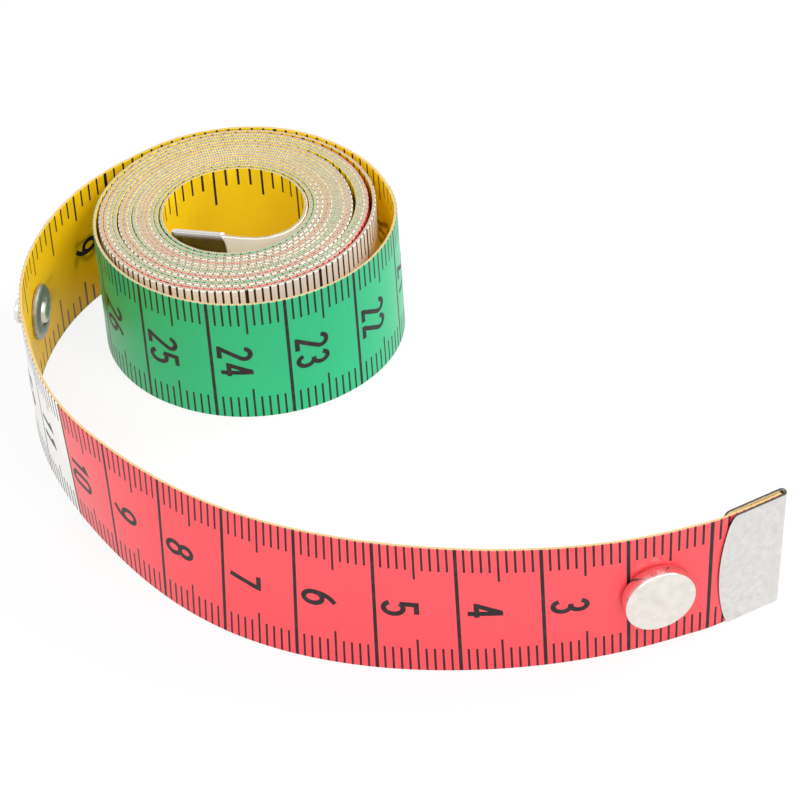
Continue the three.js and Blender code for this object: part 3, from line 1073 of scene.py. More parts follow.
def figure_strokes(r: float, h: float) -> dict[str, list[list[Point]]]:
    """The middle lines of the ten figures, plain and narrow as on drawings.

    Args:
        r: Half the width of a figure.
        h: Its height.

    Returns:
        Each figure's strokes, round x = 0 and up from y = 0. One that ends where it starts is a ring.
    """
    bowl, small = (r, 0.3 * h), (0.9 * r, 0.24 * h)
    return {
        "0": [[*arc((0, h - r), (r, r), 180, 0), *arc((0, r), (r, r), 0, -180), (-r, h - r)]],
        "1": [[(-0.65 * r, 0.76 * h), (0.3 * r, h), (0.3 * r, 0)]],
        "2": [[*arc((0, h - r), (r, r), 175, -30), (-r, 0), (r, 0)]],
        "3": [
            arc((0, 0.76 * h), small, 160, -90),
            [(-0.35 * r, 0.52 * h), *arc((0, 0.26 * h), (r, 0.26 * h), 90, -160)],
        ],
        "4": [
            [(0.35 * r, h), (-r, 0.27 * h), (1.2 * r, 0.27 * h)],
            [(0.5 * r, 1.05 * h), (0.5 * r, 0)],
        ],
        "5": [
            [(0.9 * r, h), (-0.8 * r, h), (-0.85 * r, 0.5 * h)],
            arc((-0.05 * r, 0.3 * h), (1.05 * r, 0.3 * h), 140, -155),
        ],
        "6": [arc((0, 0.3 * h), bowl, 180, -180), swoop((-r, 0.3 * h), (-r, 0.78 * h), (0.6 * r, h))],
        "7": [[(-r, h), (r, h), (-0.3 * r, 0)]],
        "8": [arc((0, 0.76 * h), small, 180, -180), arc((0, 0.27 * h), (r, 0.27 * h), 180, -180)],
        "9": [arc((0, 0.7 * h), bowl, 180, -180), swoop((r, 0.7 * h), (r, 0.22 * h), (-0.6 * r, 0))],
    }


@dataclass
class Digits:
    """The ten printed figures, each a thin film of ink that follows the tape."""

    tall: float = 4.6  # along the tape
    wide: float = 2.25  # across it
    stroke: float = 0.63
    space: float = 0.35
    film: float = 0.015
    sunk: float = 0.01
    slice: float = 0.4  # figures are cut this fine along the tape, to bend with it
    same: float = 1e-5  # points of a stroke that are closer than this are one
    splinter: float = 1e-3  # faces narrower than this are taken out
    shapes: dict[str, Shape] = field(default_factory=dict)

    def __post_init__(self) -> None:
        """Models the ten figures once."""
        lines = figure_strokes((self.wide - self.stroke) / 2, self.tall - self.stroke)
        for figure, strokes in lines.items():
            self.shapes[figure] = self.model(figure, strokes)

    def bar(self, name: str, points: Sequence[Point]) -> bpy.types.Object:
        """Gives a middle line its width, with mitred corners, and a height of 1.

        Args:
            name: The new object's name.
            points: The line. Where it ends at its start, it becomes a ring.

        Returns:
            A solid that stands on z = 0.
        """
        line = np.array(points)
        ring = bool(np.linalg.norm(line[0] - line[-1]) < self.same)
        if ring:
            line = line[:-1]
        line = line[np.linalg.norm(line - np.roll(line, 1, axis=0), axis=1) > self.same]
        ahead = np.roll(line, -1, axis=0) - line
        ahead /= np.linalg.norm(ahead, axis=1, keepdims=True)
        behind = np.roll(ahead, 1, axis=0)
        if not ring:
            ahead[-1], behind[0] = behind[-1], ahead[0]
        mitre = ahead + behind
        mitre /= np.sum(mitre * ahead, axis=1, keepdims=True)
        side = np.stack((-mitre[:, 1], mitre[:, 0]), 1) * self.stroke / 2
        count = len(line)
        rails = (line + side, line - side)
        rows = [np.column_stack((rail, np.full(count, z))) for z in (0, 1) for rail in rails]
        left, right, left_top, right_top = (np.arange(count) + i * count for i in range(len(rows)))
        loop = (left, right, right_top, left_top)
        faces: Faces = []
        for i in range(count if ring else count - 1):
            j = (i + 1) % count
            faces += [(a[i], b[i], b[j], a[j]) for a, b in zip(loop, loop[1:] + loop[:1])]
        if not ring:
            faces += [tuple(row[i] for row in loop) for i in (0, count - 1)]
        piece = add_mesh(name, np.concatenate(rows), [tuple(map(int, face)) for face in faces])
        with editing(piece):
            bpy.ops.mesh.normals_make_consistent(inside=False)
        return piece

    def model(self, figure: str, strokes: Sequence[Sequence[Point]]) -> Shape:
        """Models one figure, upright and a little thick.

        Args:
            figure: The character.
            strokes: Its middle lines.

        Returns:
            Its vertices, round x = 0 and up from y = 0, and its faces.
        """
        piece, *others = (self.bar(f"figure_{figure}", points) for points in strokes)
        for other in others:
            apply_modifier(piece, "BOOLEAN", operation="UNION", solver="EXACT", object=other)
            select(other)
            bpy.ops.object.delete()
        with editing(piece):
            bpy.ops.mesh.remove_doubles(threshold=self.same)
            for i in range(1, round(self.tall / self.slice)):
                bpy.ops.mesh.select_all(action="SELECT")
                level = i * self.slice - self.stroke / 2
                bpy.ops.mesh.bisect(plane_co=(0, level, 0), plane_no=(0, 1, 0))
        points = np.array([v.co for v in piece.data.vertices])
        points[:, 1] += self.stroke / 2
        limits = np.array([[-self.wide / 2, 0, 0], [self.wide / 2, self.tall, 1]])
        blunted = np.clip(points, *limits)  # the mitres' tips
        piece.data.vertices.foreach_set("co", blunted.astype(np.float32).ravel())
        with editing(piece):
            bpy.ops.mesh.remove_doubles(threshold=self.splinter)
            bpy.ops.mesh.dissolve_degenerate(threshold=self.splinter)
        points = np.array([v.co for v in piece.data.vertices])
        faces = [tuple(f.vertices) for f in piece.data.polygons]
        bpy.ops.object.delete()
        return points, faces

    def print_number(self, line: TapeLine, number: int, base: float, face: Face) -> Shape:
        """One number across the middle of the tape, its figures' tops towards the zero end.

        Args:
            line: The tape's line.
            number: What is printed.
            base: The mark that the figures stand on.
            face: The face that it is printed on.

        Returns:
            Vertices in metres and faces.
        """
        text = str(number)
        block = len(text) * self.wide + (len(text) - 1) * self.space
        printed: list[Shape] = []
        for i, figure in enumerate(text):
            points, sides = self.shapes[figure]
            across = i * (self.wide + self.space) + (self.wide - block) / 2 + points[:, 0]
            heights = line.tape.width / 2 - face.value * across
            lift = line.tape.half - self.sunk + points[:, 2] * (self.sunk + self.film)
            printed.append((line.place(base - points[:, 1], heights, face.value * lift), sides))
        return joined(printed)


@dataclass
class ClothStretch:
    """A stretch of the printed cloth, as one closed ribbon."""

    name: str
    start: float
    end: float
    slot: str
    node: str
    line: TapeLine
    digits: Digits
    swell: float = 0.42  # packed in the roll, the cloth fills the space between its turns
    packed: tuple[float, float, float, float] = (300, 420, 1440, 1480)  # where that starts and stops
    join: float = 0.03  # lines that start closer together than this start as one
    fray: float = 0.02  # how unevenly the edges were slit
    seed: int = 7

    def columns(self) -> np.ndarray:
        """Where the ribbon is cut, so that each printed line has faces of its own.

        Returns:
            The marks, from the first to the last.
        """
        cuts = np.concatenate((CENTIMETRES.edges(), INCHES.edges()))
        cuts = np.sort(cuts[(cuts > self.start + self.join) & (cuts < self.end - self.join)])
        kept = cuts[np.concatenate(([True], np.diff(cuts) > self.join))]
        return np.concatenate(([self.start], kept, [self.end]))

    def inks(self, middles: np.ndarray, section: list[SectionPoint]) -> np.ndarray:
        """The material slot of each face, by column and strip.

        Args:
            middles: The middle mark of each column.
            section: The tape's section.

        Returns:
            Slot numbers, a row for each column.
        """
        colours = np.array([ink.value for ink in FIELDS])
        fields = colours[(middles // FIELD_LENGTH).astype(int) % len(FIELDS)]
        reach = {scale.face: scale.reach_at(middles) for scale in (CENTIMETRES, INCHES)}
        ground = {Face.OUTER: fields, Face.INNER: np.full(len(middles), Ink.YELLOW.value)}
        slots = np.full((len(middles), len(section)), Ink.EDGE.value)
        for strip, corner in enumerate(section):
            if corner.face is not None:
                inked = (reach[corner.face] >= corner.depth) & (reach[corner.face] > 0)
                inked &= corner.depth > 0 or corner.face is Face.OUTER
                slots[:, strip] = np.where(inked, Ink.BLACK.value, ground[corner.face])
        return slots

    def ribbon(self) -> bpy.types.Object:
        """Builds the ribbon, with its printed lines as faces of their own.

        Returns:
            The object, with no materials yet.
        """
        marks = self.columns()
        section = tape_section(self.line.tape)
        count = len(section)
        heights = np.tile([corner.height for corner in section], (len(marks), 1))
        ragged = np.random.default_rng(self.seed).normal(0, self.fray, (len(marks), 2))
        on_edge = np.array([corner.face is None or corner.depth == 0 for corner in section])
        top = np.array([corner.height > self.line.tape.width / 2 for corner in section])
        heights[:, on_edge & top] += ragged[:, :1]
        heights[:, on_edge & ~top] += abs(ragged[:, 1:])
        offsets = np.tile([corner.offset for corner in section], (len(marks), 1))
        share = smoothstep(marks, *self.packed[:2]) - smoothstep(marks, *self.packed[2:])
        offsets *= 1 + self.swell * share[:, None]
        points = self.line.place(np.repeat(marks, count), heights.ravel(), offsets.ravel())
        here = np.arange(count)
        after = (here + 1) % count
        row = np.arange(len(marks) - 1)[:, None] * count
        sides = np.stack((row + here, row + after, row + count + after, row + count + here), -1)
        last = len(points) - count
        caps = [tuple(range(count))[::-1], tuple(range(last, last + count))]
        piece = add_mesh(self.name, points, [*map(tuple, sides.reshape(-1, 4).tolist()), *caps])
        slots = self.inks((marks[1:] + marks[:-1]) / 2, section).ravel()
        slots = np.append(slots, [Ink.EDGE.value] * len(caps))
        piece.data.polygons.foreach_set("material_index", slots.astype(np.int32))
        self.map_millimetres(piece.data, np.repeat(marks, count), heights.ravel())
        return piece

    @staticmethod
    def map_millimetres(mesh: bpy.types.Mesh, marks: np.ndarray, heights: np.ndarray) -> None:
        """Gives a mesh a UV map in millimetres.

        Args:
            mesh: The ribbon's mesh.
            marks: The mark of each vertex.
            heights: Its height up the tape.
        """
        corners = np.zeros(len(mesh.loops), np.int32)
        mesh.loops.foreach_get("vertex_index", corners)
        layer = mesh.uv_layers.new(name=TAPE_UV)
        layer.uv.foreach_set("vector", np.stack((marks[corners], heights[corners]), 1).ravel())

    def numbers(self) -> Iterator[Shape]:
        """The numbers that stand on this stretch and can be seen.

        Yields:
            The vertices and faces of each.
        """
        for scale in (CENTIMETRES, INCHES):
            spacing = scale.numbered * scale.step
            for number in range(1, int(scale.seen_to / spacing)):
                base = number * spacing - scale.number_gap
                if self.start < base - self.digits.tall / 2 <= self.end:
                    yield self.digits.print_number(self.line, number, base, scale.face)

    def print_numbers(self, piece: bpy.types.Object) -> None:
        """Joins the numbers to the ribbon.

        Args:
            piece: The ribbon, with its materials.
        """
        numbers = add_mesh(f"{self.name}_numbers", *joined(self.numbers()))
        mesh = numbers.data
        mesh.uv_layers.new(name=TAPE_UV)
        for material in piece.data.materials:
            mesh.materials.append(material)
        slots = np.full(len(mesh.polygons), Ink.BLACK.value, np.int32)
        mesh.polygons.foreach_set("material_index", slots)
        with editing(numbers):
            bpy.ops.mesh.normals_make_consistent(inside=False)
        select(piece)
        numbers.select_set(True)
        bpy.ops.object.join()

    def build(self, materials: Sequence[bpy.types.Material]) -> bpy.types.Object:
        """Args:
            materials: The cloth's materials, in the order of the slots.

        Returns:
            The finished piece, not yet on a body.
        """
        piece = self.ribbon()
        for material in materials:
            piece.data.materials.append(material)
        smooth(piece, CLOTH_CREASE)
        self.print_numbers(piece)
        declare(piece, self.node, self.slot)
        return piece


@dataclass
class EndClip:
    """A plate folded over the tape's end, its inner edges pressed into the cloth."""

    name: str
    mark: float  # of the outside of the fold
    direction: int  # 1 where the plates run along the growing marks
    front: tuple[float, float]  # how far the outer plate reaches, at its ends and halfway up
    rear: tuple[float, float]
    seat_reach: float  # half of it is where the clip is square to the tape
    line: TapeLine
    sheet: float = 0.3  # the plate's thickness
    inside: float = 0.28  # from the tape's middle plane to a plate
    inset: float = 0.12  # the clip ends this far above the surface
    rear_rise: float = 0.25  # the fold runs askew, so the rear plate stands this much higher
    over: float = 0.0  # how far the plates stand over the tape's top edge
    crimp: float = 0.0  # over this depth there, they close over it
    crimp_gap: float = 0.02
    corner: float = 0.8
    pressed: float = 0.16
    press_run: float = 0.6
    press_from: float = 0.2  # closer than this to a plate's end nothing is pressed
    rounding: float = 0.07
    crease: float = 50  # degrees: the rounding takes edges sharper than this
    rows: int = 48
    along: int = 28
    fold_steps: int = 12

    @property
    def tall(self) -> float:
        """The clip's height."""
        return self.line.tape.width - 2 * self.inset + self.over

    def reach(self, heights: np.ndarray, ends: float, middle: float) -> np.ndarray:
        """How far a plate with a bowed edge and round corners reaches from the fold.

        Args:
            heights: Millimetres above the clip's bottom edge.
            ends: The reach near its ends.
            middle: The reach halfway up.

        Returns:
            Millimetres.
        """
        tall = self.tall
        share = np.clip((heights - self.corner) / (tall - 2 * self.corner), 0, 1)
        bow = ends + 4 * share * (1 - share) * (middle - ends)
        past = np.maximum(self.corner - np.minimum(heights, tall - heights), 0) / self.corner
        return bow - self.corner * (1 - np.sqrt(1 - np.minimum(past, 1) ** 2))

    def build(self, material: bpy.types.Material, rim: bpy.types.Material) -> bpy.types.Object:
        """Folds a flat blank over the tape's end and gives it its thickness.

        Args:
            material: The finish of the plates.
            rim: The finish of their cut edges; the zero end's clip takes a dark one as painted shade.

        Returns:
            The finished piece, which still has to ride on a body.
        """
        columns = 2 * self.along + self.fold_steps
        bpy.ops.object.select_all(action="DESELECT")
        bpy.ops.mesh.primitive_grid_add(x_subdivisions=columns, y_subdivisions=self.rows, size=2)
        piece = bpy.context.object
        piece.name = self.name
        flat = np.array([v.co for v in piece.data.vertices])
        column = np.rint((flat[:, 0] + 1) / 2 * columns)
        spread = np.sin(flat[:, 1] * math.pi / 2)  # rows lie closer at the rounded corners
        heights = (spread + 1) / 2 * self.tall
        folded = self.fold(column, heights)
        piece.data.vertices.foreach_set("co", (folded * MM).astype(np.float32).ravel())
        piece.data.materials.append(material)
        piece.data.materials.append(rim)
        apply_modifier(
            piece, "SOLIDIFY", thickness=self.sheet * MM, offset=0.0, material_offset_rim=1
        )
        with editing(piece):
            bpy.ops.mesh.normals_make_consistent(inside=False)
        round_edges(piece, self.rounding, self.crease)
        smooth(piece, METAL_CREASE)
        settle(piece, self.place())
        declare(piece, self.name.removesuffix("_plate"), "clip_plate")
        return piece

    def fold(self, column: np.ndarray, heights: np.ndarray) -> np.ndarray:
        """Where the flat blank's vertices go.

        Args:
            column: Each vertex's column, from the outer plate's edge round the fold to the rear's.
            heights: Its height above the clip's bottom edge.

        Returns:
            Points with the fold's outside at x = 0, the outer plate at +y and the heights along z.
        """
        middle = self.inside + self.sheet / 2
        outside = self.inside + self.sheet
        turn = np.clip((column - self.along) / self.fold_steps, 0, 1) * math.pi
        front = np.clip(1 - column / self.along, 0, 1)
        rear = np.clip((column - self.along - self.fold_steps) / self.along, 0, 1)
        front_reach = self.reach(heights, *self.front)
        rear_reach = self.reach(heights, *self.rear)
        run = front * (front_reach - outside) + rear * (rear_reach - outside)
        room = front_reach * (front > 0) + rear_reach * (rear > 0)
        on_plate = (front > 0) | (rear > 0)
        to_edge = np.where(on_plate, room - outside - run, self.press_run)
        press = self.pressed * (1 - smoothstep(to_edge, 0, self.press_run))
        to_end = np.minimum(heights, self.tall - heights)
        press *= smoothstep(to_end, self.press_from, 2 * self.corner)
        x = outside - middle * np.sin(turn) + run
        open_share = np.ones(len(heights))
        if self.crimp:
            closed = (self.inside - self.crimp_gap) / middle
            open_share -= closed * smoothstep(heights, self.tall - self.crimp, self.tall)
        y = (middle - press) * np.cos(turn) * open_share
        return np.stack((x, y, heights + self.inset + self.rear_rise * turn / math.pi), 1)

    def place(self) -> Matrix:
        """Where the clip sits: halfway along its reach it is square to the tape.

        Returns:
            A matrix in metres for points as fold gives them.
        """
        seat = self.line.seat(self.mark + self.direction * self.seat_reach / 2, 0)
        stand = Matrix(((1, 0, 0, 0), (0, 0, -1, 0), (0, 1, 0, 0), (0, 0, 0, 1)))
        back = Matrix.Translation((-self.seat_reach / 2 * MM, 0, 0))
        turned = Matrix.Rotation(math.pi if self.direction < 0 else 0, 4, "Z")
        return seat @ stand @ turned @ back


@dataclass(frozen=True)
class TurnedPiece:
    """A pressed or turned round piece, as rings of a radius and a distance out of the tape."""

    name: str
    node: str
    rings: tuple[Point, ...]
    closed_ring: bool = False  # True where the section closes on itself round a hole
    rounding: float = 0.08
    crease: float = 35  # degrees: the rounding takes edges sharper than this
    sides: int = 72
    core: float = 0.0  # inside this radius it has its second finish
    same: float = 1e-4  # points closer than this are one

    def build(
        self, place: Matrix, finishes: Sequence[bpy.types.Material], slot: str
    ) -> bpy.types.Object:
        """Pulls the piece up ring by ring from a circle and seats it.

        Args:
            place: A matrix whose Z is the piece's axis.
            finishes: Its finish, and a second one if it has a core.
            slot: A material slot's name, passed on to declare.

        Returns:
            The finished piece, which still has to ride on a body.
        """
        rings = self.rings + self.rings[:1] if self.closed_ring else self.rings
        bpy.ops.object.select_all(action="DESELECT")
        bpy.ops.mesh.primitive_circle_add(vertices=self.sides, radius=rings[0][0] * MM)
        piece = bpy.context.object
        piece.name = self.name
        with editing(piece):
            bpy.ops.transform.translate(value=(0, 0, rings[0][1] * MM))
            for (radius, low), (wider, high) in zip(rings, rings[1:]):
                bpy.ops.mesh.extrude_region_move(
                    TRANSFORM_OT_translate={"value": (0, 0, (high - low) * MM)}
                )
                grow = wider / radius
                bpy.ops.transform.resize(value=(grow, grow, 1), center_override=(0, 0, high * MM))
            bpy.ops.mesh.select_all(action="SELECT")
            bpy.ops.mesh.remove_doubles(threshold=self.same * MM)
            bpy.ops.mesh.fill_holes(sides=0)
            bpy.ops.mesh.normals_make_consistent(inside=False)
        round_edges(piece, self.rounding, self.crease)
        smooth(piece, METAL_CREASE)
        for material in finishes:
            piece.data.materials.append(material)
        for face in piece.data.polygons:
            face.material_index = int(face.center.xy.length < self.core * MM)
        settle(piece, place)
        declare(piece, self.node, slot)
        return piece


@dataclass
class PressFastener:
    """The cap and socket near the zero end, and the stud and eyelet that they close on."""

    line: TapeLine
    cap_mark: float = 16.8
    stud_mark: float = 132.2
    cap_radius: float = 4.4
    cap_height: float = 2.21  # over the tape's middle plane
    socket_radius: float = 4.0
    socket_back: float = 0.54
    socket_height: float = 2.6
    socket_wall: float = 0.5
    rivet: float = 0.85
    flare: float = 1.5
    stud_base: float = 3.2
    stud_neck: float = 1.45
    stud_head: float = 1.75
    stud_height: float = 2.71
    eyelet_radius: float = 3.65
    eyelet_height: float = 1.15
    wire: float = 0.25
    leg_length: float = 4.2
    leg_offset: float = 1.7
    leg_depth: float = 2.09

    def cap(self) -> TurnedPiece:
        """The cap: a shallow pan with a slightly crowned face, and its post.

        Returns:
            The piece, to be built.
        """
        skin, top, r = self.line.tape.half, self.cap_height, self.cap_radius
        behind = -(self.socket_back + self.socket_wall + 0.3)
        rings = (
            (self.flare, behind - 0.25), (self.flare, behind), (self.rivet, behind), (self.rivet, skin),
            (r - 0.45, skin), (r - 0.15, skin + 0.1), (r, skin + 0.4), (r, top - 0.22),
            (r - 0.06, top - 0.06), (r - 0.2, top), (r - 0.42, top - 0.01), (r - 0.62, top - 0.1),
            (r - 1.4, top - 0.06), (r - 2.9, top - 0.02), (0.3, top),
        )
        return TurnedPiece("snap_cap_pan", "snap_cap", rings, rounding=0.05, sides=96)

    def socket(self) -> TurnedPiece:
        """The socket: a drum behind the tape with a hole for the post and a mouth for the stud.

        Returns:
            The piece, to be built.
        """
        back, r, wall = -self.socket_back, self.socket_radius, self.socket_wall
        front = back - self.socket_height
        mouth = self.stud_head + 0.3
        rings = (
            (self.rivet + 0.1, back), (self.rivet + 0.1, back - wall), (r - wall, back - wall),
            (r - wall, front + wall), (mouth, front + wall), (mouth - 0.05, front + wall / 2),
            (mouth + 0.15, front), (r - 1.1, front - 0.12), (r - 0.45, front), (r, front + 0.4),
            (r, back - 0.3), (r - 0.15, back),
        )
        return TurnedPiece("snap_socket_drum", "snap_socket", rings, closed_ring=True, rounding=0.05)

    def stud(self) -> TurnedPiece:
        """The stud: a hollow knob drawn up from a flat base.

        Returns:
            The piece, to be built.
        """
        skin, top, foot, neck = self.line.tape.half, self.stud_height, self.stud_base, self.stud_neck
        base = skin + 0.6
        rings = (
            (self.rivet + 0.1, skin), (foot - 0.1, skin), (foot, skin + 0.12), (foot, base - 0.2),
            (foot - 0.2, base), (neck + 0.5, base - 0.05), (neck, base + 0.2), (neck, base + 0.85),
            (self.stud_head, base + 1.25), (self.stud_head, top - 0.35), (neck, top - 0.05), (0.5, top),
        )
        return TurnedPiece("snap_stud_knob", "snap_stud", rings, rounding=0.06)

    def eyelet(self) -> TurnedPiece:
        """The eyelet: a domed washer on the inner face with the rivet's rolled end in its middle.

        Returns:
            The piece, to be built.
        """
        skin, r = -self.line.tape.half, self.eyelet_radius
        front = -self.eyelet_height
        rings = (
            (self.rivet, self.stud_height - 0.6), (self.rivet, skin), (r - 0.3, skin),
            (r, skin - 0.2), (r - 0.03, front + 0.35), (r - 0.3, front + 0.1),
            (r - 0.8, front + 0.02), (r - 1.5, front), (r - 1.8, front + 0.04),
            (r - 1.95, front + 0.24), (r - 2.1, front + 0.24), (r - 2.2, front),
            (r - 2.3, front - 0.25), (r - 2.55, front - 0.45), (r - 2.95, front - 0.58),
            (0.3, front - 0.62),
        )
        return TurnedPiece("snap_eyelet_washer", "snap_eyelet", rings, rounding=0.05, core=r - 2.0)

    def leg(self, name: str) -> TurnedPiece:
        """One leg of the wire spring, with rounded ends.

        Args:
            name: Which of the two it is.

        Returns:
            The piece, to be built.
        """
        half, r = self.leg_length / 2, self.wire
        rings = (
            (r * 0.4, -half), (r * 0.85, -half + r * 0.3), (r, -half + r), (r, half - r),
            (r * 0.85, half - r * 0.3), (r * 0.4, half),
        )
        return TurnedPiece(
            f"spring_wire_{name}", f"snap_spring_leg_{name}", rings, rounding=0.02, sides=24
        )

    def build(
        self, plate: bpy.types.Material, washer: bpy.types.Material, rivet: bpy.types.Material,
        wire: bpy.types.Material,
    ) -> None:
        """Builds and seats the fastener's pieces.

        Args:
            plate: The finish of the cap, the socket and the stud.
            washer: The finish of the eyelet.
            rivet: The finish of the rivet's end in its middle.
            wire: The finish of the spring.
        """
        halfway = self.line.tape.width / 2
        cap_seat = self.line.seat(self.cap_mark, halfway)
        stud_seat = self.line.seat(self.stud_mark, halfway)
        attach(self.cap().build(cap_seat, [plate], "snap_plate"), "tip")
        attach(self.socket().build(cap_seat, [plate], "snap_plate"), "tip")
        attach(self.stud().build(stud_seat, [plate], "snap_plate"), "lead")
        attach(self.eyelet().build(stud_seat, [washer, rivet], "snap_plate"), "lead")
        along = Matrix.Rotation(math.pi / 2, 4, "Y")
        for name, body, rise in (
            ("upper", "spring_leg_upper", self.leg_offset),
            ("lower", "spring_leg_lower", -self.leg_offset),
        ):
            shift = Matrix.Translation((0, -rise * MM, -self.leg_depth * MM))
            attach(self.leg(name).build(cap_seat @ shift @ along, [wire], "spring_wire"), body)


def seen_directly(tree: bpy.types.NodeTree) -> bpy.types.NodeSocket:
    """Tells the rays that show white surroundings from those that light the part.

    Args:
        tree: The floor's or the world's node tree.

    Returns:
        The socket that gives 1 for the first and 0 for the others.
    """
    path = add_node(tree, "ShaderNodeLightPath", {})
    seen = path.outputs["Is Camera Ray"]
    for kind in ("Is Glossy Ray", "Is Transmission Ray"):
        seen = add_node(
            tree, "ShaderNodeMath", {"operation": "MAXIMUM"}, n0=seen, n1=path.outputs[kind]
        ).outputs[0]
    return seen


@dataclass(frozen=True)
class Lamp:
    """A square lamp that points at the part."""

    name: str
    place: tuple[float, float, float]  # in metres
    size: float
    power: float  # in watts

    def hang(self) -> None:
        """Adds the lamp to the scene."""
        data = bpy.data.lights.new(self.name, "AREA")
        data.size = self.size
        data.energy = self.power
        lamp = bpy.data.objects.new(self.name, data)
        bpy.context.scene.collection.objects.link(lamp)
        lamp.location = self.place
        lamp.rotation_euler = (-Vector(self.place)).to_track_quat("-Z", "Y").to_euler()


@dataclass(frozen=True)
class Studio:
    """A white table, soft light all round, and the camera."""

    camera_place: tuple[float, float, float] = (2.8, -375.54, 302.2)
    pitch: float = 0.66763  # radians below the horizon
    roll: float = -0.074774
    focal_pixels: float = 3781.8  # on a picture of this many pixels
    picture: int = 800
    sensor: float = 36.0
    near: float = 10  # nothing closer to the camera is drawn
    table_size: float = 6000
    card: str = "F4F4F4"
    white: str = "FFFFFF"
    table_glow: float = 0.86  # the share of plain white in the table that is seen
    world_light: float = 0.6  # how brightly the surroundings light the part
    world_seen: float = 1.0  # and how bright they look
    lamps: tuple[Lamp, ...] = (
        Lamp("key_lamp", (0.45, -0.55, 0.8), 0.35, 3.7),
        Lamp("fill_lamp", (-0.35, -0.5, 0.8), 0.5, 3.3),
        Lamp("side_lamp", (0.85, 0.3, 0.85), 0.35, 7.0),
    )

    def camera(self) -> None:
        """Makes the camera at the photograph's viewing angle."""
        data = bpy.data.cameras.new("camera")
        data.sensor_width = self.sensor
        data.lens = self.focal_pixels / self.picture * self.sensor
        data.clip_start = self.near * MM
        camera = bpy.data.objects.new("camera", data)
        bpy.context.scene.collection.objects.link(camera)
        right = Vector((1, 0, 0))
        forward = Vector((0, math.cos(self.pitch), -math.sin(self.pitch)))
        up = right.cross(forward)
        x = right * math.cos(self.roll) + up * math.sin(self.roll)
        y = up * math.cos(self.roll) - right * math.sin(self.roll)
        turn = Matrix((x, y, -forward)).transposed().to_4x4()
        camera.matrix_world = Matrix.Translation(Vector(self.camera_place) * MM) @ turn
        bpy.context.scene.camera = camera

    def floor(self) -> None:
        """Lays a matt white table top that keeps a faint shadow."""
        bpy.ops.object.select_all(action="DESELECT")
        bpy.ops.mesh.primitive_plane_add(size=self.table_size * MM)
        floor = bpy.context.object
        floor.name = "table_top"
        # White card: matt and even, and bright enough to be lost in the white around it.
        material, tree = start_material("white_card")
        lit = add_node(tree, "ShaderNodeBsdfDiffuse", {}, Color=linear(self.card))
        glow = add_node(tree, "ShaderNodeEmission", {}, Color=linear(self.white), Strength=1.0)
        share = add_node(
            tree, "ShaderNodeMath", {"operation": "MULTIPLY"},
            n0=seen_directly(tree), n1=self.table_glow,
        ).outputs[0]
        mixed = add_node(
            tree, "ShaderNodeMixShader", {}, n0=share, n1=lit.outputs[0], n2=glow.outputs[0]
        )
        finish_material(tree, mixed)
        floor.data.materials.append(material)

    def light(self) -> None:
        """Makes the surroundings white, and hangs large lamps that give the forms some shape."""
        world = bpy.data.worlds.new("white_surroundings")
        bpy.context.scene.world = world
        world.use_nodes = True
        tree = world.node_tree
        tree.nodes.clear()
        strength = add_node(
            tree, "ShaderNodeMapRange", {}, Value=seen_directly(tree),
            To_Min=self.world_light, To_Max=self.world_seen,
        ).outputs[0]
        back = add_node(
            tree, "ShaderNodeBackground", {}, Color=linear(self.white), Strength=strength
        )
        add_node(tree, "ShaderNodeOutputWorld", {}, Surface=back.outputs[0])
        for lamp in self.lamps:
            lamp.hang()
        bpy.context.scene.view_settings.view_transform = "Standard"


# Calendered vinyl coats on the cloth: clear warm colours, satin, paler where the edges are chipped.
RED_COAT = CoatedCloth("coated_cloth_red", "FA4852", "FBE7DC")
WHITE_COAT = CoatedCloth("coated_cloth_white", "F5F3EF", "EDE4CF")
GREEN_COAT = CoatedCloth("coated_cloth_green", "00B87C", "DDEBDC")
# The yellow inside is duller, and so thin that light comes through it on the free end, whose colour is
# also painted more golden as that glow.
YELLOW_COAT = CoatedCloth(
    "coated_cloth_yellow", "FFDA1C", "F3E2A4", handled="FFB50A", through=0.85, roughness=0.45, shine=0.2
)
# Nickel on rolled sheet: pale grey and frosted, with fine upright marks.
CLIP_PLATE = NickelPlate(
    "nickel_plated_sheet", colour="F0EEEB", dull="CFCCC8", roughness=0.3, stain_mm=0.9, grain_mm=0.22,
    relief=1.0,
)
# The sheet's cut edges: bare steel, painted dark and matt as the shadow line that runs along them.
CLIP_EDGE_SHADE = NickelPlate("clip_edge_painted_shade", colour="6A645C", dull="4A4540", roughness=0.5)
# Nickel in the bore, painted brown-grey and dull as the bore's shade and the dark wall it reflects.
FAR_CLIP_SHADE = NickelPlate("far_clip_painted_shade", colour="8A857C", dull="5C5750", roughness=0.4)
# Nickel on pressed brass: nearly white, shinier, and softly dented.
SNAP_PLATE = NickelPlate(
    "nickel_plated_brass", colour="FBF6F0", dull="DAD4CC", roughness=0.2, stain_mm=1.4, grain_mm=1.1,
    relief=1.0,
)
# Tumbled zinc: grey, speckled and dull.
WASHER_ZINC = NickelPlate(
    "tumbled_zinc", colour="CBCAC4", dull="7C7B76", roughness=0.5, stain_mm=0.6, grain_mm=0.35,
    relief=0.8,
)
# A peened rivet head: pale, with small dull spots.
RIVET_HEAD = NickelPlate("peened_nickel", colour="F2EFEA", dull="B4B0A8", roughness=0.45, stain_mm=0.8)
# Drawn steel wire: mid grey, hardly stained.
SPRING_WIRE = NickelPlate("drawn_spring_wire", colour="A9A9A6", dull="8E8E8B", roughness=0.35)


def cloth_materials() -> list[bpy.types.Material]:
    """The cloth's materials, in the order of the Ink slots."""
    finishes = (RED_COAT, WHITE_COAT, GREEN_COAT, YELLOW_COAT, ScaleInk(), CutEdge())
    return [finish.material() for finish in finishes]


ROLL_TO_LEAD = 170  # the marks where one stretch of the cloth ends and the next one starts
LEAD_TO_TAIL = 110
TAIL_TO_TIP = 60


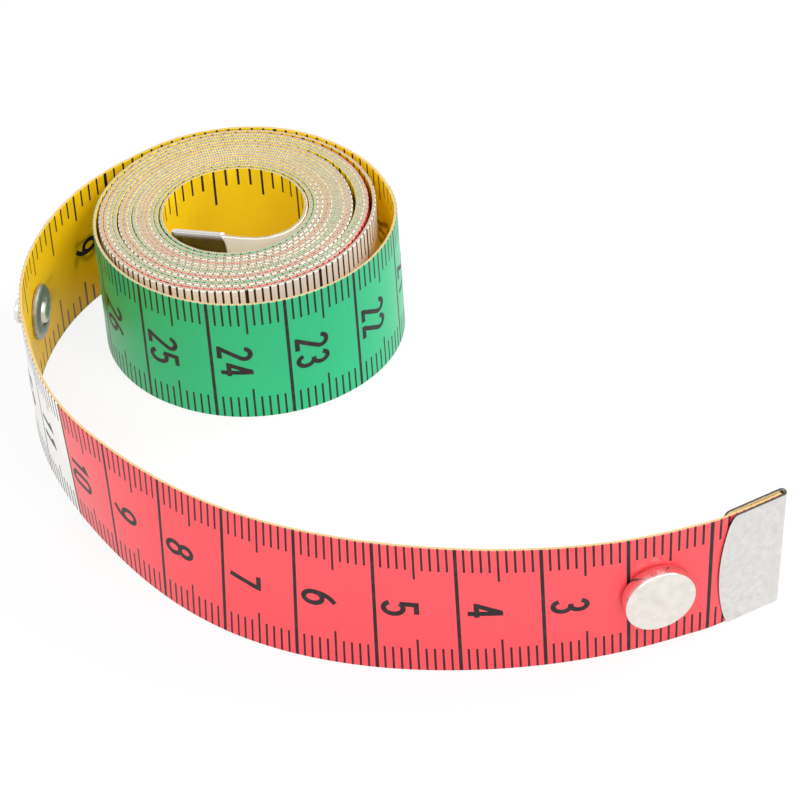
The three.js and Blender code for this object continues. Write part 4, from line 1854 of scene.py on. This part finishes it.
@dataclass(frozen=True)
class Bend:
    """A joint that the free end bends at, between two bodies."""

    mark: float
    near: str  # the body on the roll's side
    far: str
    reach: float = 9  # the cloth bends over this much on each side

    def apply(self, piece: bpy.types.Object, line: TapeLine) -> None:
        """Bakes a stretch's placement into its mesh.

        Args:
            piece: The stretch.
            line: The tape's line.
        """
        marks = np.array([self.mark + self.reach, self.mark - self.reach])
        start, end = line.place(marks, np.zeros(2), np.zeros(2))
        tuple(start)
        tuple(end)
        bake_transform(piece)


def build_cloth(line: TapeLine) -> None:
    """Builds the four stretches, and attaches the roll's stretch to its body.

    Args:
        line: The tape's line.
    """
    digits = Digits()
    materials = cloth_materials()
    end = line.tape.length - line.tape.end
    roll = ClothStretch("tape_roll_cloth", ROLL_TO_LEAD, end, "cloth_roll", "tape_coil", line, digits)
    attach(roll.build(materials), "roll")
    stretches = (
        ClothStretch(
            "tape_lead_cloth", LEAD_TO_TAIL, ROLL_TO_LEAD, "cloth_lead", "tape_lead", line, digits
        ),
        ClothStretch(
            "tape_tail_cloth", TAIL_TO_TIP, LEAD_TO_TAIL, "cloth_tail", "tape_tail", line, digits
        ),
        ClothStretch(
            "tape_tip_cloth", line.tape.end, TAIL_TO_TIP, "cloth_tail", "tape_tip", line, digits
        ),
    )
    bends = (Bend(150, "roll", "lead"), Bend(87.5, "lead", "tail"), Bend(31, "tail", "tip"))
    for stretch, bend in zip(stretches, bends):
        bend.apply(stretch.build(materials), line)


def build_metal(line: TapeLine) -> None:
    """Builds the two clips and the press fastener.

    Args:
        line: The tape's line.
    """
    clip = CLIP_PLATE.material()
    zero = EndClip(
        "zero_end_clip_plate", mark=0, direction=1, front=(7.8, 9.0), rear=(8.4, 9.2), seat_reach=9.0,
        line=line, inside=0.225, inset=0.07, over=0.12,
    )
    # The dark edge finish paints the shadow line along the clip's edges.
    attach(zero.build(clip, CLIP_EDGE_SHADE.material()), "tip")
    far = EndClip(
        "far_end_clip_plate", mark=line.tape.length, direction=-1, front=(7.2, 7.6), rear=(7.2, 7.6),
        seat_reach=line.far_clip_reach, line=line, sheet=0.4, inset=0.05, rear_rise=0.0, over=0.2,
        crimp=0.4,
    )
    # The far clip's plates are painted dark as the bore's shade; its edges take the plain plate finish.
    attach(far.build(FAR_CLIP_SHADE.material(), clip), "roll")
    PressFastener(line).build(
        SNAP_PLATE.material(), WASHER_ZINC.material(), RIVET_HEAD.material(), SPRING_WIRE.material()
    )


def main() -> None:
    """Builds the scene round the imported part."""
    logging.basicConfig(level=logging.INFO, format="%(message)s")
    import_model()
    studio = Studio()
    studio.camera()
    line = TapeLine(Tape())
    build_cloth(line)
    build_metal(line)
    studio.floor()
    studio.light()


if __name__ == "__main__":
    main()
